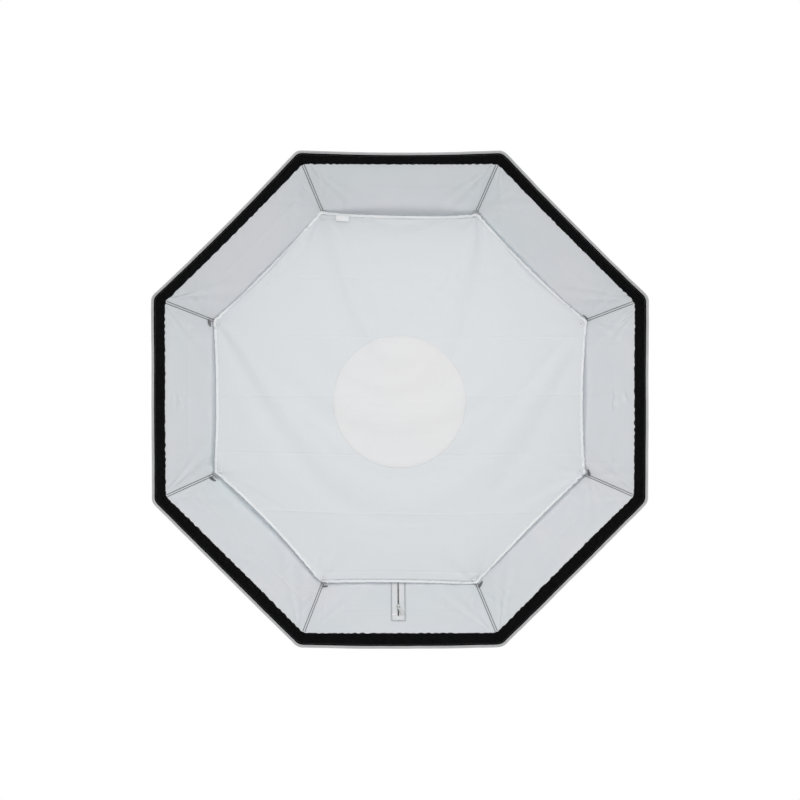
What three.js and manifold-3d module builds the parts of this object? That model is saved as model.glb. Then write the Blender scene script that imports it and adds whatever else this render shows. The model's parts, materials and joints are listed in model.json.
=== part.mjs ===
// Octagonal studio softbox on a rotating speed ring, in millimetres with +Z up.
// The open front faces -Y and the light bolts on at +Y: the origin is the centre of the bayonet
// insert's rear face. Each wall panel bends along one circular arc, seen in the plane through the
// axis (inradius a, depth d behind the rim), and neighbouring panels meet in a mitre that a flexed
// rod follows on the outside.

import * as THREE from 'three';
import { mergeVertices } from 'three/addons/utils/BufferGeometryUtils.js';
import Module from 'manifold-3d';

const wasm = await Module();
wasm.setup();

// ---------------------------------------------------------------- driving dimensions
const SIDES = 8;
const STEP = (2 * Math.PI) / SIDES;
const MITRE = Math.cos(STEP / 2);
const GAP = 0.3; // clearance between pieces that touch
const ROUND = 48; // facets on a full turn of the metal rings
const SMALL = 16; // and of the knob's screw and its hole
const TINY = 12; // and of the sockets, screws and pad
const CLEAR = 20; // how far a cutting shape runs past the body it cuts

const RIM_INRADIUS = 475; // half of the 950 mm across the front
const RIM_Y = -446; // plane of the rim
const ARC_RADIUS = 1012.5; // outside of the wall, along each panel
const ARC_START = Math.asin(455.8 / ARC_RADIUS); // slope of the wall at the rim
const ARC_A = RIM_INRADIUS - ARC_RADIUS * Math.cos(ARC_START);
const ARC_D = -ARC_RADIUS * Math.sin(ARC_START);

// On the wall, start and end run along the arc from the rim, and top and bottom across it.
const WALL = { start: 1.5, end: 575, top: -1.1, bottom: -2.3, facets: 6 };
const FACET = WALL.end / WALL.facets;
const BINDING = { leg: 10, insideLeg: 8, fold: 1.2, thick: 0.8, inner: 3.4 };
const BAND = { start: 8.6, end: 42, thick: 1.5 }; // hook-and-loop, inside the rim
const EDGING = { start: 42.3, end: 45, thick: 0.8 };
const REAR_HEM = { start: 556, end: 574, thick: 0.8 };

const ROD = { r: 2.25, lift: 5, start: 17, end: 600, steps: 12, facets: 8 };
const SLEEVE = { inner: 3, outer: 3.8, start: 48, end: 550, steps: 10, facets: 6 };
const POCKET = { start: 14, length: 31, outer: 4.7, inner: 2.9, floor: 2, facets: 8 };

const BAFFLE = { inradius: 372.6, depth: 153, thick: 0.8 };
const HEM = { width: 7, thick: 0.6 };
const PATCH = { r: 129, thick: 0.5 };
const LABEL = { w: 26, h: 11, thick: 0.4, x: -116, z: 365 };
const STRAP = { w: 14, length: 25, thick: 1.2, outer: 402, behind: 0.5 };

const ZIP = { start: 82, end: 310, half: 14, tape: 1, chain: 1, top: -1.2, slider: 122, steps: 14 };
const SLIDER = { w: 9, length: 13, plate: 1.4, clear: 0.35, neck: 1.3, neckLength: 7 };
const CROWN = { w: 1.6, length: 9, post: 1.5, window: 2.2, roof: 1.2, sunk: 0.4 };
const PULL = { w: 7, length: 27, bar: 0.8, hole: 5.6, holeHalf: 1.3, corner: 2 };

const RING = { inner: 58.6, outer: 78, front: -34, rear: -12, flange: 86, flangeThick: 3 };
const SOCKET = { start: 577, length: 28, outer: 6.5, bore: 3.1, floor: 1, reach: 110 };
const INSERT = { bore: 49, barrel: 58, flange: 76, flangeRear: -7, neck: 66, lugFront: -3 };
const LUG = { outer: 72, inner: 64, count: 3, spread: (40 * Math.PI) / 180 };
const RETAINER = { inner: 49.3, outer: 64, thick: 3 };
const SCREW = { pitchR: 53.5, r: 1.5, hole: 1.9, length: 14, head: 3.2, headHigh: 2.2, count: 3 };
const KNOB = { y: -18.5, shank: 3, hole: 3.4, boss: 6.3, bossEnd: 88, head: 94, high: 18 };
const GRIP = { r: 11.1, wave: 0.9, lobes: 7, pointsPerLobe: 6 };
const PAD = { r: 2.9, length: 3.2 };

// ---------------------------------------------------------------- materials
const material = (color, roughness, metalness = 0) =>
  new THREE.MeshStandardMaterial({ color, roughness, metalness });
const LINING = material(0xcfd2d6, 0.45, 0.25);
const BLACK_NYLON = material(0x17171a, 0.8);
const GREY_TAPE = material(0xb4b4b6, 0.8);
const FLEECE = material(0x121214, 0.95);
const WHITE_TAPE = material(0xecedf0, 0.8);
const DIFFUSER = material(0xdadee1, 0.75);
const PATCH_CLOTH = material(0xe4e5e6, 0.75);
const SPRING_STEEL = material(0x9a9a9c, 0.35, 1);
const BLACK_ALLOY = material(0x1b1b1d, 0.5, 0.6);
const BRIGHT_ALLOY = material(0xb9babd, 0.35, 1);
const ZINC = material(0xc2c2c4, 0.3, 1);
const KNOB_PLASTIC = material(0x141414, 0.5);
const NYLON_PAD = material(0xdedcd2, 0.6);

const softbox = new THREE.Group();

// ---------------------------------------------------------------- geometry helpers
function place(parent, name, geometry, finish) {
  const mesh = new THREE.Mesh(geometry, finish);
  mesh.name = name;
  parent.add(mesh);
  return mesh;
}

function turned(angle) {
  const group = new THREE.Group();
  group.rotation.y = angle;
  softbox.add(group);
  return group;
}

function solid(geometry) {
  const bare = geometry.clone();
  bare.deleteAttribute('normal');
  bare.deleteAttribute('uv');
  const merged = mergeVertices(bare, 1e-4);
  return new wasm.Manifold(new wasm.Mesh({
    numProp: 3,
    vertProperties: new Float32Array(merged.attributes.position.array),
    triVerts: new Uint32Array(merged.index.array),
  }));
}

function geometryOf(manifold) {
  const mesh = manifold.getMesh();
  const geometry = new THREE.BufferGeometry();
  geometry.setAttribute('position', new THREE.BufferAttribute(mesh.vertProperties, 3));
  geometry.setIndex(new THREE.BufferAttribute(mesh.triVerts, 1));
  return geometry;
}

const evenly = (from, to, steps) =>
  Array.from({ length: steps + 1 }, (_, i) => from + ((to - from) * i) / steps);
const points2 = (pairs) => pairs.map(([x, y]) => new THREE.Vector2(x, y));
const outline = (pairs) => new THREE.Shape(points2(pairs));

// A profile of [radius, y] pairs turned about Y. It closes on itself unless both ends are on the axis.
function revolve(pairs, facets = ROUND, start = 0) {
  const profile = points2(pairs);
  if (THREE.ShapeUtils.area(profile) < 0) profile.reverse();
  if (profile[0].x > 0) profile.push(profile[0].clone());
  return new THREE.LatheGeometry(profile, facets, start);
}

function box(w, l, h, x = 0, y = 0, z = 0) {
  return new THREE.BoxGeometry(w, l, h).translate(x, y, z);
}

function cylinder(r, length, facets) {
  return new THREE.CylinderGeometry(r, r, length, facets).translate(0, length / 2, 0);
}

const extrude = (shape, depth) => new THREE.ExtrudeGeometry(shape, { depth, bevelEnabled: false });

// ---------------------------------------------------------------- the wall's arc
const slopeAt = (s) => ARC_START + s / ARC_RADIUS;

// The point s along a panel from the rim and `across` outside the outer face: [inradius, depth].
function arcPoint(s, across) {
  const slope = slopeAt(s);
  const r = ARC_RADIUS + across;
  return [ARC_A + r * Math.cos(slope), ARC_D + r * Math.sin(slope)];
}

// The same point on the panel's flat facets, which every tape and hem on the wall shares.
function wallPoint(s, across) {
  const facet = Math.min(Math.max(Math.floor(s / FACET), 0), WALL.facets - 1);
  const [a0, d0] = arcPoint(facet * FACET, across);
  const [a1, d1] = arcPoint((facet + 1) * FACET, across);
  const t = s / FACET - facet;
  return [a0 + (a1 - a0) * t, d0 + (d1 - d0) * t];
}

// A closed [inradius, depth] outline through the given stations, between two lines across.
function strip(stations, top, bottom, pointAt) {
  const outside = stations.map((s) => pointAt(s, top));
  const inside = stations.map((s) => pointAt(s, bottom));
  return [...outside, ...inside.reverse()];
}

function wallStrip(start, end, top, bottom) {
  const folds = Array.from({ length: WALL.facets }, (_, i) => i * FACET);
  const stations = [start, ...folds.filter((s) => s > start + 1 && s < end - 1), end];
  return strip(stations, top, bottom, wallPoint);
}

// An eight-sided hoop from an [inradius, depth] outline.
function hoop(strip) {
  return revolve(strip.map(([a, d]) => [a / MITRE, RIM_Y + d]), SIDES, STEP / 2);
}

// A strip of the top panel, from one x to another, from an [inradius, depth] outline.
function acrossPanel(strip, fromX, toX) {
  const depthAndHeight = strip.map(([a, d]) => [RIM_Y + d, a]);
  const axes = new THREE.Matrix4().makeBasis(
    new THREE.Vector3(0, 1, 0), new THREE.Vector3(0, 0, 1), new THREE.Vector3(1, 0, 0));
  return extrude(outline(depthAndHeight), toX - fromX).applyMatrix4(axes).translate(fromX, 0, 0);
}

// The rib line of the wall's outer mitre, lifted straight out of it, in the plane x = 0.
function ribPoint(s, lift) {
  const slope = slopeAt(s);
  const r = ARC_RADIUS + WALL.top;
  const out = new THREE.Vector2(Math.cos(slope), Math.sin(slope) / MITRE).normalize();
  const z = (ARC_A + r * Math.cos(slope)) / MITRE + lift * out.x;
  return new THREE.Vector3(0, RIM_Y + ARC_D + r * Math.sin(slope) + lift * out.y, z);
}

function ribCurve(start, end, steps) {
  return new THREE.CatmullRomCurve3(evenly(start, end, steps).map((s) => ribPoint(s, ROD.lift)));
}

// A regular section swept along the rib, hollow where an inner radius is given.
function alongRib({ start, end, steps, facets }, outer, inner = 0) {
  const ring = (r) => Array.from({ length: facets }, (_, i) => {
    const angle = (2 * Math.PI * i) / facets;
    return [r * Math.cos(angle), r * Math.sin(angle)];
  });
  const shape = outline(ring(outer));
  if (inner > 0) shape.holes.push(new THREE.Path(points2(ring(inner)).reverse()));
  const extrudePath = ribCurve(start, end, steps);
  return new THREE.ExtrudeGeometry(shape, { steps, extrudePath, bevelEnabled: false });
}

// Turns a piece made along +Y from the origin to lie on the rib from one station towards another.
function onRib(geometry, s, towards) {
  const from = ribPoint(s, ROD.lift);
  const direction = ribPoint(towards, ROD.lift).sub(from).normalize();
  const turn = new THREE.Quaternion().setFromUnitVectors(new THREE.Vector3(0, 1, 0), direction);
  return geometry.applyQuaternion(turn).translate(from.x, from.y, from.z);
}

// ---------------------------------------------------------------- fabric shell
// The slice of space that the top panel may fill, between its two mitre planes.
function panelWedge() {
  const apex = GAP / 2 / Math.sin(STEP / 2);
  const reach = RIM_INRADIUS + CLEAR;
  const half = (reach - apex) * Math.tan(STEP / 2);
  const triangle = outline([[0, apex], [half, reach], [-half, reach]]);
  return extrude(triangle, CLEAR - RIM_Y).rotateX(Math.PI / 2);
}

function buildPanels() {
  const wide = RIM_INRADIUS * Math.tan(STEP / 2) + CLEAR;
  const strip = wallStrip(WALL.start, WALL.end, WALL.top, WALL.bottom);
  const plain = solid(acrossPanel(strip, -wide, wide)).intersect(solid(panelWedge()));
  const cut = wallStrip(ZIP.start, ZIP.end, WALL.top + CLEAR, WALL.bottom - CLEAR);
  const slot = acrossPanel(cut, -ZIP.half, ZIP.half);
  const slotted = plain.subtract(solid(slot));
  for (let i = 0; i < SIDES; i++) {
    const shape = i === SIDES / 2 ? slotted : plain;
    place(turned(i * STEP), `panel_${i + 1}`, geometryOf(shape), LINING);
  }
}

function buildRim() {
  const { leg, insideLeg, fold, thick, inner } = BINDING;
  const channel = [
    [0, 0], [leg, 0], [leg, -thick], [fold, -thick],
    [fold, thick - inner], [insideLeg, thick - inner], [insideLeg, -inner], [0, -inner],
  ];
  place(softbox, 'rim_binding', hoop(channel.map(([s, across]) => wallPoint(s, across))), GREY_TAPE);
  const inside = WALL.bottom - GAP;
  const band = wallStrip(BAND.start, BAND.end, inside, inside - BAND.thick);
  place(softbox, 'hook_loop_band', hoop(band), FLEECE);
  const edging = wallStrip(EDGING.start, EDGING.end, inside, inside - EDGING.thick);
  place(softbox, 'band_edging', hoop(edging), WHITE_TAPE);
  const hem = wallStrip(REAR_HEM.start, REAR_HEM.end, 0, -REAR_HEM.thick);
  place(softbox, 'rear_hem', hoop(hem), BLACK_NYLON);
}

// ---------------------------------------------------------------- rods and what holds them
function buildRibs() {
  const rod = alongRib(ROD, ROD.r);
  const sleeve = alongRib(SLEEVE, SLEEVE.outer, SLEEVE.inner);
  const { outer, inner, length, floor, start, facets } = POCKET;
  const cup = revolve(
    [[0, 0], [outer, 0], [outer, length], [inner, length], [inner, floor], [0, floor]], facets);
  const pocket = onRib(cup, start, start + length);
  for (let i = 0; i < SIDES; i++) {
    const rib = turned((i + 0.5) * STEP);
    place(rib, `rod_${i + 1}`, rod, SPRING_STEEL);
    place(rib, `rod_sleeve_${i + 1}`, sleeve, BLACK_NYLON);
    place(rib, `corner_pocket_${i + 1}`, pocket, BLACK_NYLON);
  }
}

// ---------------------------------------------------------------- inner diffuser
function buildDiffuser() {
  const { inradius, depth, thick } = BAFFLE;
  const front = RIM_Y + depth - thick / 2;
  const plate = (r, low, high, hole = 0) =>
    revolve([[hole, low], [r / MITRE, low], [r / MITRE, high], [hole, high]], SIDES, STEP / 2);
  place(softbox, 'inner_diffuser', plate(inradius, front, front + thick), DIFFUSER);

  const hemFront = front - GAP - HEM.thick;
  const hole = (inradius - HEM.width) / MITRE;
  place(softbox, 'diffuser_hem', plate(inradius, hemFront, hemFront + HEM.thick, hole), WHITE_TAPE);

  const patch = cylinder(PATCH.r, PATCH.thick, ROUND);
  patch.translate(0, front - GAP - PATCH.thick, 0);
  place(softbox, 'centre_patch', patch, PATCH_CLOTH);

  const labelY = hemFront - GAP - LABEL.thick / 2;
  const label = box(LABEL.w, LABEL.thick, LABEL.h, LABEL.x, labelY, LABEL.z);
  place(softbox, 'blank_label', label, WHITE_TAPE);

  const strapY = front + thick + STRAP.behind + STRAP.thick / 2;
  const strap = box(STRAP.w, STRAP.thick, STRAP.length, 0, strapY, STRAP.outer - STRAP.length / 2);
  for (let i = 0; i < SIDES; i++) {
    place(turned((i + 0.5) * STEP), `corner_strap_${i + 1}`, strap, GREY_TAPE);
  }
}

// ---------------------------------------------------------------- access zip in the bottom panel
// A frame on the wall's arc at station s: x across the panel, y towards the rear, z out of the wall.
function station(parent, s, across) {
  const [a, d] = arcPoint(s, across);
  const group = new THREE.Group();
  group.position.set(0, RIM_Y + d, a);
  group.rotation.x = -slopeAt(s);
  parent.add(group);
  return group;
}

function buildZip() {
  const bottom = turned(Math.PI);
  const ends = [ZIP.start + GAP, ZIP.end - GAP];
  const stations = evenly(...ends, ZIP.steps);
  const tapeStrip = strip(stations, ZIP.top, ZIP.top - ZIP.tape, arcPoint);
  const outerEdge = ZIP.half - GAP;
  const chainEdge = ZIP.chain;
  place(bottom, 'zip_tape_left', acrossPanel(tapeStrip, chainEdge, outerEdge), WHITE_TAPE);
  place(bottom, 'zip_tape_right', acrossPanel(tapeStrip, -outerEdge, -chainEdge), WHITE_TAPE);

  const rider = station(bottom, ZIP.slider, ZIP.top - ZIP.tape / 2);
  const { w, length, plate, clear, neck, neckLength } = SLIDER;
  const face = ZIP.tape / 2 + clear;
  const plateZ = face + plate / 2;
  const crownLow = -(face + plate);
  const crownHigh = crownLow - CROWN.window - CROWN.roof;
  const crownMiddle = (crownLow + crownHigh) / 2;
  const window = box(CLEAR, CROWN.length - 2 * CROWN.post, CROWN.window,
    0, 0, crownLow - CROWN.window / 2);
  const crown = box(CROWN.w, CROWN.length, crownLow - crownHigh + CROWN.sunk,
    0, 0, crownMiddle + CROWN.sunk / 2);
  const slider = solid(box(w, length, plate, 0, 0, plateZ))
    .add(solid(box(w, length, plate, 0, 0, -plateZ)))
    .add(solid(box(neck, neckLength, 2 * plateZ, 0, (length - neckLength) / 2, 0)))
    .add(solid(crown))
    .subtract(solid(window));
  place(rider, 'zip_slider', geometryOf(slider), ZINC);

  const half = PULL.w / 2;
  const { bar, hole, holeHalf, corner, length: reach } = PULL;
  const tab = outline([
    [-half, bar], [half, bar], [half, -reach + corner], [half - corner, -reach],
    [corner - half, -reach], [-half, -reach + corner],
  ]);
  tab.holes.push(new THREE.Path(points2([
    [-holeHalf, -bar], [-holeHalf, -hole], [holeHalf, -hole], [holeHalf, -bar],
  ])));
  const barZ = crownLow - CROWN.window / 2;
  place(rider, 'zip_pull', extrude(tab, 2 * bar).translate(0, 0, barZ - bar), ZINC);
}

// ---------------------------------------------------------------- speed ring and bayonet insert
function buildSpeedRing() {
  const { inner, outer, front, rear, flange, flangeThick } = RING;
  const knobAxis = (geometry) => geometry.rotateZ(-Math.PI / 2).translate(0, KNOB.y, 0);
  let body = solid(revolve([
    [inner, front], [flange, front], [flange, front + flangeThick], [outer, front + flangeThick],
    [outer, rear], [inner, rear],
  ]));
  const sinkIn = 2; // bosses start inside the band, clear of its bore
  const boss = cylinder(KNOB.boss, KNOB.bossEnd - outer + sinkIn, SMALL);
  body = body.add(solid(knobAxis(boss.translate(0, outer - sinkIn, 0))));
  const drill = cylinder(KNOB.hole, KNOB.bossEnd, SMALL);
  body = body.subtract(solid(knobAxis(drill.translate(0, inner - CLEAR, 0))));

  const mouth = SOCKET.start;
  const tube = onRib(cylinder(SOCKET.outer, SOCKET.length, TINY), mouth, mouth + SOCKET.length);
  const drillUp = cylinder(SOCKET.bore, SOCKET.length, TINY).translate(0, -SOCKET.floor, 0);
  const bore = onRib(drillUp, mouth, mouth + SOCKET.length);
  for (let i = 0; i < SIDES; i++) {
    const angle = (i + 0.5) * STEP;
    body = body.add(solid(tube.clone().rotateY(angle)));
    body = body.subtract(solid(bore.clone().rotateY(angle)));
  }
  const facing = cylinder(SOCKET.reach, CLEAR, ROUND).translate(0, rear, 0);
  place(softbox, 'speed_ring', geometryOf(body.subtract(solid(facing))), BLACK_ALLOY);
}

function buildInsert() {
  const { bore, barrel, flange, flangeRear, neck, lugFront } = INSERT;
  const flangeFront = RING.rear + GAP;
  const barrelFront = RING.front - GAP;
  let body = solid(revolve([
    [bore, barrelFront], [barrel, barrelFront], [barrel, flangeFront], [flange, flangeFront],
    [flange, flangeRear], [neck, flangeRear], [neck, 0], [bore, 0],
  ]));
  for (let i = 0; i < LUG.count; i++) {
    const middle = Math.PI / 2 + (i * 2 * Math.PI) / LUG.count;
    const lug = new THREE.Shape();
    lug.absarc(0, 0, LUG.outer, middle - LUG.spread / 2, middle + LUG.spread / 2, false);
    lug.absarc(0, 0, LUG.inner, middle + LUG.spread / 2, middle - LUG.spread / 2, true);
    const block = new THREE.ExtrudeGeometry(lug, {
      depth: -lugFront, bevelEnabled: false, curveSegments: 4,
    });
    body = body.add(solid(block.rotateX(Math.PI / 2)));
  }
  const holeSpots = Array.from({ length: SCREW.count }, (_, i) => (i * 2 * Math.PI) / SCREW.count);
  const drill = (deep) =>
    cylinder(SCREW.hole, deep + CLEAR, TINY).translate(0, -CLEAR, SCREW.pitchR);
  const barrelDrill = drill(SCREW.length).translate(0, barrelFront, 0);
  const retainerFront = barrelFront - GAP - RETAINER.thick;
  let retainer = solid(revolve([
    [RETAINER.inner, retainerFront], [RETAINER.outer, retainerFront],
    [RETAINER.outer, barrelFront - GAP], [RETAINER.inner, barrelFront - GAP],
  ]));
  const retainerDrill = drill(2 * RETAINER.thick).translate(0, retainerFront, 0);
  for (const angle of holeSpots) {
    body = body.subtract(solid(barrelDrill.clone().rotateY(angle)));
    retainer = retainer.subtract(solid(retainerDrill.clone().rotateY(angle)));
  }
  place(softbox, 'bayonet_insert', geometryOf(body), BRIGHT_ALLOY);
  place(softbox, 'retainer_ring', geometryOf(retainer), BRIGHT_ALLOY);

  const { r, head, headHigh, length, pitchR } = SCREW;
  const screw = revolve(
    [[0, -headHigh], [head, -headHigh], [head, 0], [r, 0], [r, length], [0, length]], TINY);
  screw.translate(0, retainerFront - GAP, pitchR);
  holeSpots.forEach((angle, i) => {
    place(turned(angle), `retainer_screw_${i + 1}`, screw, ZINC);
  });
}

// The clamping screw points along +X: its pad slides with it and its knob turns.
function buildLock() {
  const lock = new THREE.Group();
  lock.position.y = KNOB.y;
  lock.rotation.z = -Math.PI / 2;
  softbox.add(lock);
  const padStart = INSERT.barrel + GAP;
  const padEnd = padStart + PAD.length;
  const pad = cylinder(PAD.r, PAD.length, TINY).translate(0, padStart, 0);
  place(lock, 'lock_pad', pad, NYLON_PAD);

  const count = GRIP.lobes * GRIP.pointsPerLobe;
  const lobed = Array.from({ length: count }, (_, i) => {
    const angle = (2 * Math.PI * i) / count;
    const r = GRIP.r + GRIP.wave * Math.cos(GRIP.lobes * angle);
    return [r * Math.cos(angle), r * Math.sin(angle)];
  });
  const grip = extrude(outline(lobed), KNOB.high).rotateX(-Math.PI / 2);
  grip.translate(0, KNOB.head, 0);
  const shankStart = padEnd + GAP;
  const shankLength = KNOB.head + KNOB.high / 2 - shankStart; // ends inside the grip
  const shank = cylinder(KNOB.shank, shankLength, SMALL).translate(0, shankStart, 0);
  place(lock, 'lock_knob', geometryOf(solid(grip).add(solid(shank))), KNOB_PLASTIC);
}

buildPanels();
buildRim();
buildRibs();
buildDiffuser();
buildZip();
buildSpeedRing();
buildInsert();
buildLock();

export default softbox;
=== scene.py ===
"""Studio softbox: the looks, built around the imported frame. Lengths are in metres."""
import json
import math

import bpy
import mathutils
import numpy as np
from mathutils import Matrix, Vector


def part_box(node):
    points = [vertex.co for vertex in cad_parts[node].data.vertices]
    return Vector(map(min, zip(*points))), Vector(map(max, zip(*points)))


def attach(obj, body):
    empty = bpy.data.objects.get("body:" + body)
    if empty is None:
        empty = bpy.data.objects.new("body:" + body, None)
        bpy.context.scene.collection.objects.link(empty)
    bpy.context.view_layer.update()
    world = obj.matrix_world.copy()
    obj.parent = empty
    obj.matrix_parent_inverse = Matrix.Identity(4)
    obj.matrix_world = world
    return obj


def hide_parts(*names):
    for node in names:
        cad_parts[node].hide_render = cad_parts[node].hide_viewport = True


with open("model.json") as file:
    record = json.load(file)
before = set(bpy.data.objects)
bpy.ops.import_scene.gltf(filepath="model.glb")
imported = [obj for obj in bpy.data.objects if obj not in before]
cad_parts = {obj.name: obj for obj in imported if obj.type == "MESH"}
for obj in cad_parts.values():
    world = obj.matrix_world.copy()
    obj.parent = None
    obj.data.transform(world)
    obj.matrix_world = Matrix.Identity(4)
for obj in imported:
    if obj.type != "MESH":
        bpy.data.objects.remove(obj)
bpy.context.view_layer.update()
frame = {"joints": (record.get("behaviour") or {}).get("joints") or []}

# ------------------------------------------------------------------ sizes, from the frame
SIDES = 8
STEP = 2 * math.pi / SIDES
MITRE = math.cos(STEP / 2)
SLANT = math.tan(STEP / 2)
ACROSS = np.array([1.0, 0.0, 0.0])
FORWARD = np.array([0.0, -1.0, 0.0])

JOINTS = {joint["name"]: joint for joint in frame["joints"]}
ARC_Y, ARC_Z = JOINTS["zip_travel"]["pos_m"][1:]  # centre of the bottom panel's arc
ARC_A = -ARC_Z
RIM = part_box("rim_binding")[1][0]
ARC_RADIUS = 1.0125
RIM_SLOPE = math.acos((RIM - ARC_A) / ARC_RADIUS)
RIM_Y = ARC_Y + ARC_RADIUS * math.sin(RIM_SLOPE)
WALL_END = 0.575

LINING_LEVEL = -0.0022  # how far the cloth lies outside the wall's outer line
SHELL_LEVEL = -0.0012
CLOTH = 0.0004

BAFFLE_LOW, BAFFLE_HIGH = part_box("inner_diffuser")
BAFFLE = BAFFLE_HIGH[0]
BAFFLE_Y = (BAFFLE_LOW[1] + BAFFLE_HIGH[1]) / 2
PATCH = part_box("centre_patch")[1][0]

# ------------------------------------------------------------------ mesh helpers


def add_mesh(name, vertices, faces, material, uv=None):
    """A mesh object from arrays. uv, if given, is one (u, v) in metres for each vertex."""
    mesh = bpy.data.meshes.new(name)
    mesh.from_pydata(np.asarray(vertices, float).tolist(), [], [list(f) for f in faces])
    mesh.validate()
    mesh.materials.append(material)
    mesh.shade_smooth()
    if uv is not None:
        layer = mesh.uv_layers.new(name="cloth")
        corners = np.empty(len(mesh.loops), int)
        mesh.loops.foreach_get("vertex_index", corners)
        layer.data.foreach_set("uv", np.asarray(uv, float).reshape(-1, 2)[corners].ravel())
    piece = bpy.data.objects.new(name, mesh)
    bpy.context.scene.collection.objects.link(piece)
    return piece


def grid_faces(rows, columns, wrap_rows=False, wrap_columns=False, skip=None):
    """Quads over a rows by columns grid of vertices numbered row by row."""
    faces = []
    for i in range(rows if wrap_rows else rows - 1):
        for j in range(columns if wrap_columns else columns - 1):
            if skip is not None and skip(i, j):
                continue
            i1, j1 = (i + 1) % rows, (j + 1) % columns
            faces.append((i * columns + j, i1 * columns + j, i1 * columns + j1, i * columns + j1))
    return faces


def grid(name, points, material, uv=None, flip=False, **options):
    """A piece from a (rows, columns, 3) array of points."""
    rows, columns = points.shape[:2]
    faces = grid_faces(rows, columns, **options)
    if flip:
        faces = [face[::-1] for face in faces]
    return add_mesh(name, points.reshape(-1, 3), faces, material, uv)


def modify(piece, kind, **settings):
    modifier = piece.modifiers.new(kind.lower(), kind)
    for key, value in settings.items():
        setattr(modifier, key, value)
    return modifier


def thicken(piece, thickness, offset=0.0):
    return modify(piece, "SOLIDIFY", thickness=thickness, offset=offset)


def subdivide(piece):
    modify(piece, "SUBSURF", levels=1, render_levels=1)


def cloth_map(rows, columns):
    """One (u, v) for each vertex of a grid, from its rows' and columns' places in metres."""
    return np.stack(np.broadcast_arrays(rows[:, None], columns[None, :]), axis=-1)


def finish_piece(piece, body, slot, *replaced):
    """Rides the piece on its body and hides the CAD nodes it stands for. slot is not used."""
    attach(piece, body)
    if replaced:
        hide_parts(*replaced)
    return piece


def turn_y(points, angle):
    """Turns points about the softbox's axis. A positive angle takes +Z towards +X."""
    points = np.asarray(points, float)
    x, y, z = points[..., 0], points[..., 1], points[..., 2]
    c, s = math.cos(angle), math.sin(angle)
    return np.stack([x * c + z * s, y, z * c - x * s], axis=-1)


def at_rib(points, rib):
    """Turns points from the plane x = 0 to a rib, counted clockwise from the one right of the top."""
    return turn_y(points, (rib + 0.5) * STEP)


def turns(count):
    """Evenly spaced angles round a full turn."""
    return np.arange(count) * 2 * math.pi / count


def unit(v):
    return v / np.maximum(np.linalg.norm(v, axis=-1, keepdims=True), 1e-12)


def travel(path):
    """The distance along a path at each of its points."""
    return np.concatenate([[0], np.cumsum(np.linalg.norm(np.diff(path, axis=0), axis=1))])


def path_frames(path, up):
    """Tangent, side and normal at each point of a path, the normal as near to up as it can be."""
    tangent = unit(np.gradient(path, axis=0))
    side = unit(np.cross(tangent, up))
    return tangent, side, np.cross(side, tangent)


def spokes(angles, first, second):
    """Directions at each angle round each point of a path, from its two cross directions."""
    return np.cos(angles)[None, :, None] * first[:, None] + np.sin(angles)[None, :, None] * second[:, None]


def end_faces(rows, sides):
    """The two flat ends of a tube of so many rows."""
    return [tuple(range(sides)), tuple(range(rows * sides - 1, (rows - 1) * sides - 1, -1))]


def tube(path, radius, sides=16, up=(0.0, 0.0, 1.0)):
    """Vertices and faces of a round bar along a path, with flat ends."""
    _, side, normal = path_frames(path, np.asarray(up, float))
    points = path[:, None] + radius * spokes(turns(sides), side, normal)
    faces = grid_faces(len(path), sides, wrap_columns=True) + end_faces(len(path), sides)
    return points.reshape(-1, 3), faces


def revolve(profile, segments=96):
    """Vertices and faces of a closed (radius, y) profile turned about Y."""
    profile = np.asarray(profile, float)
    angles = turns(segments)
    points = np.stack([
        profile[None, :, 0] * np.sin(angles)[:, None],
        np.broadcast_to(profile[None, :, 1], (segments, len(profile))),
        profile[None, :, 0] * np.cos(angles)[:, None],
    ], axis=-1)
    return points.reshape(-1, 3), grid_faces(segments, len(profile), wrap_rows=True, wrap_columns=True)


def join(name, parts, material):
    """One piece from several (vertices, faces) pairs."""
    vertices, faces, start = [], [], 0
    for points, polygons in parts:
        vertices.append(np.asarray(points, float))
        faces += [tuple(start + k for k in face) for face in polygons]
        start += len(points)
    return add_mesh(name, np.concatenate(vertices), faces, material)


# ------------------------------------------------------------------ materials


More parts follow.
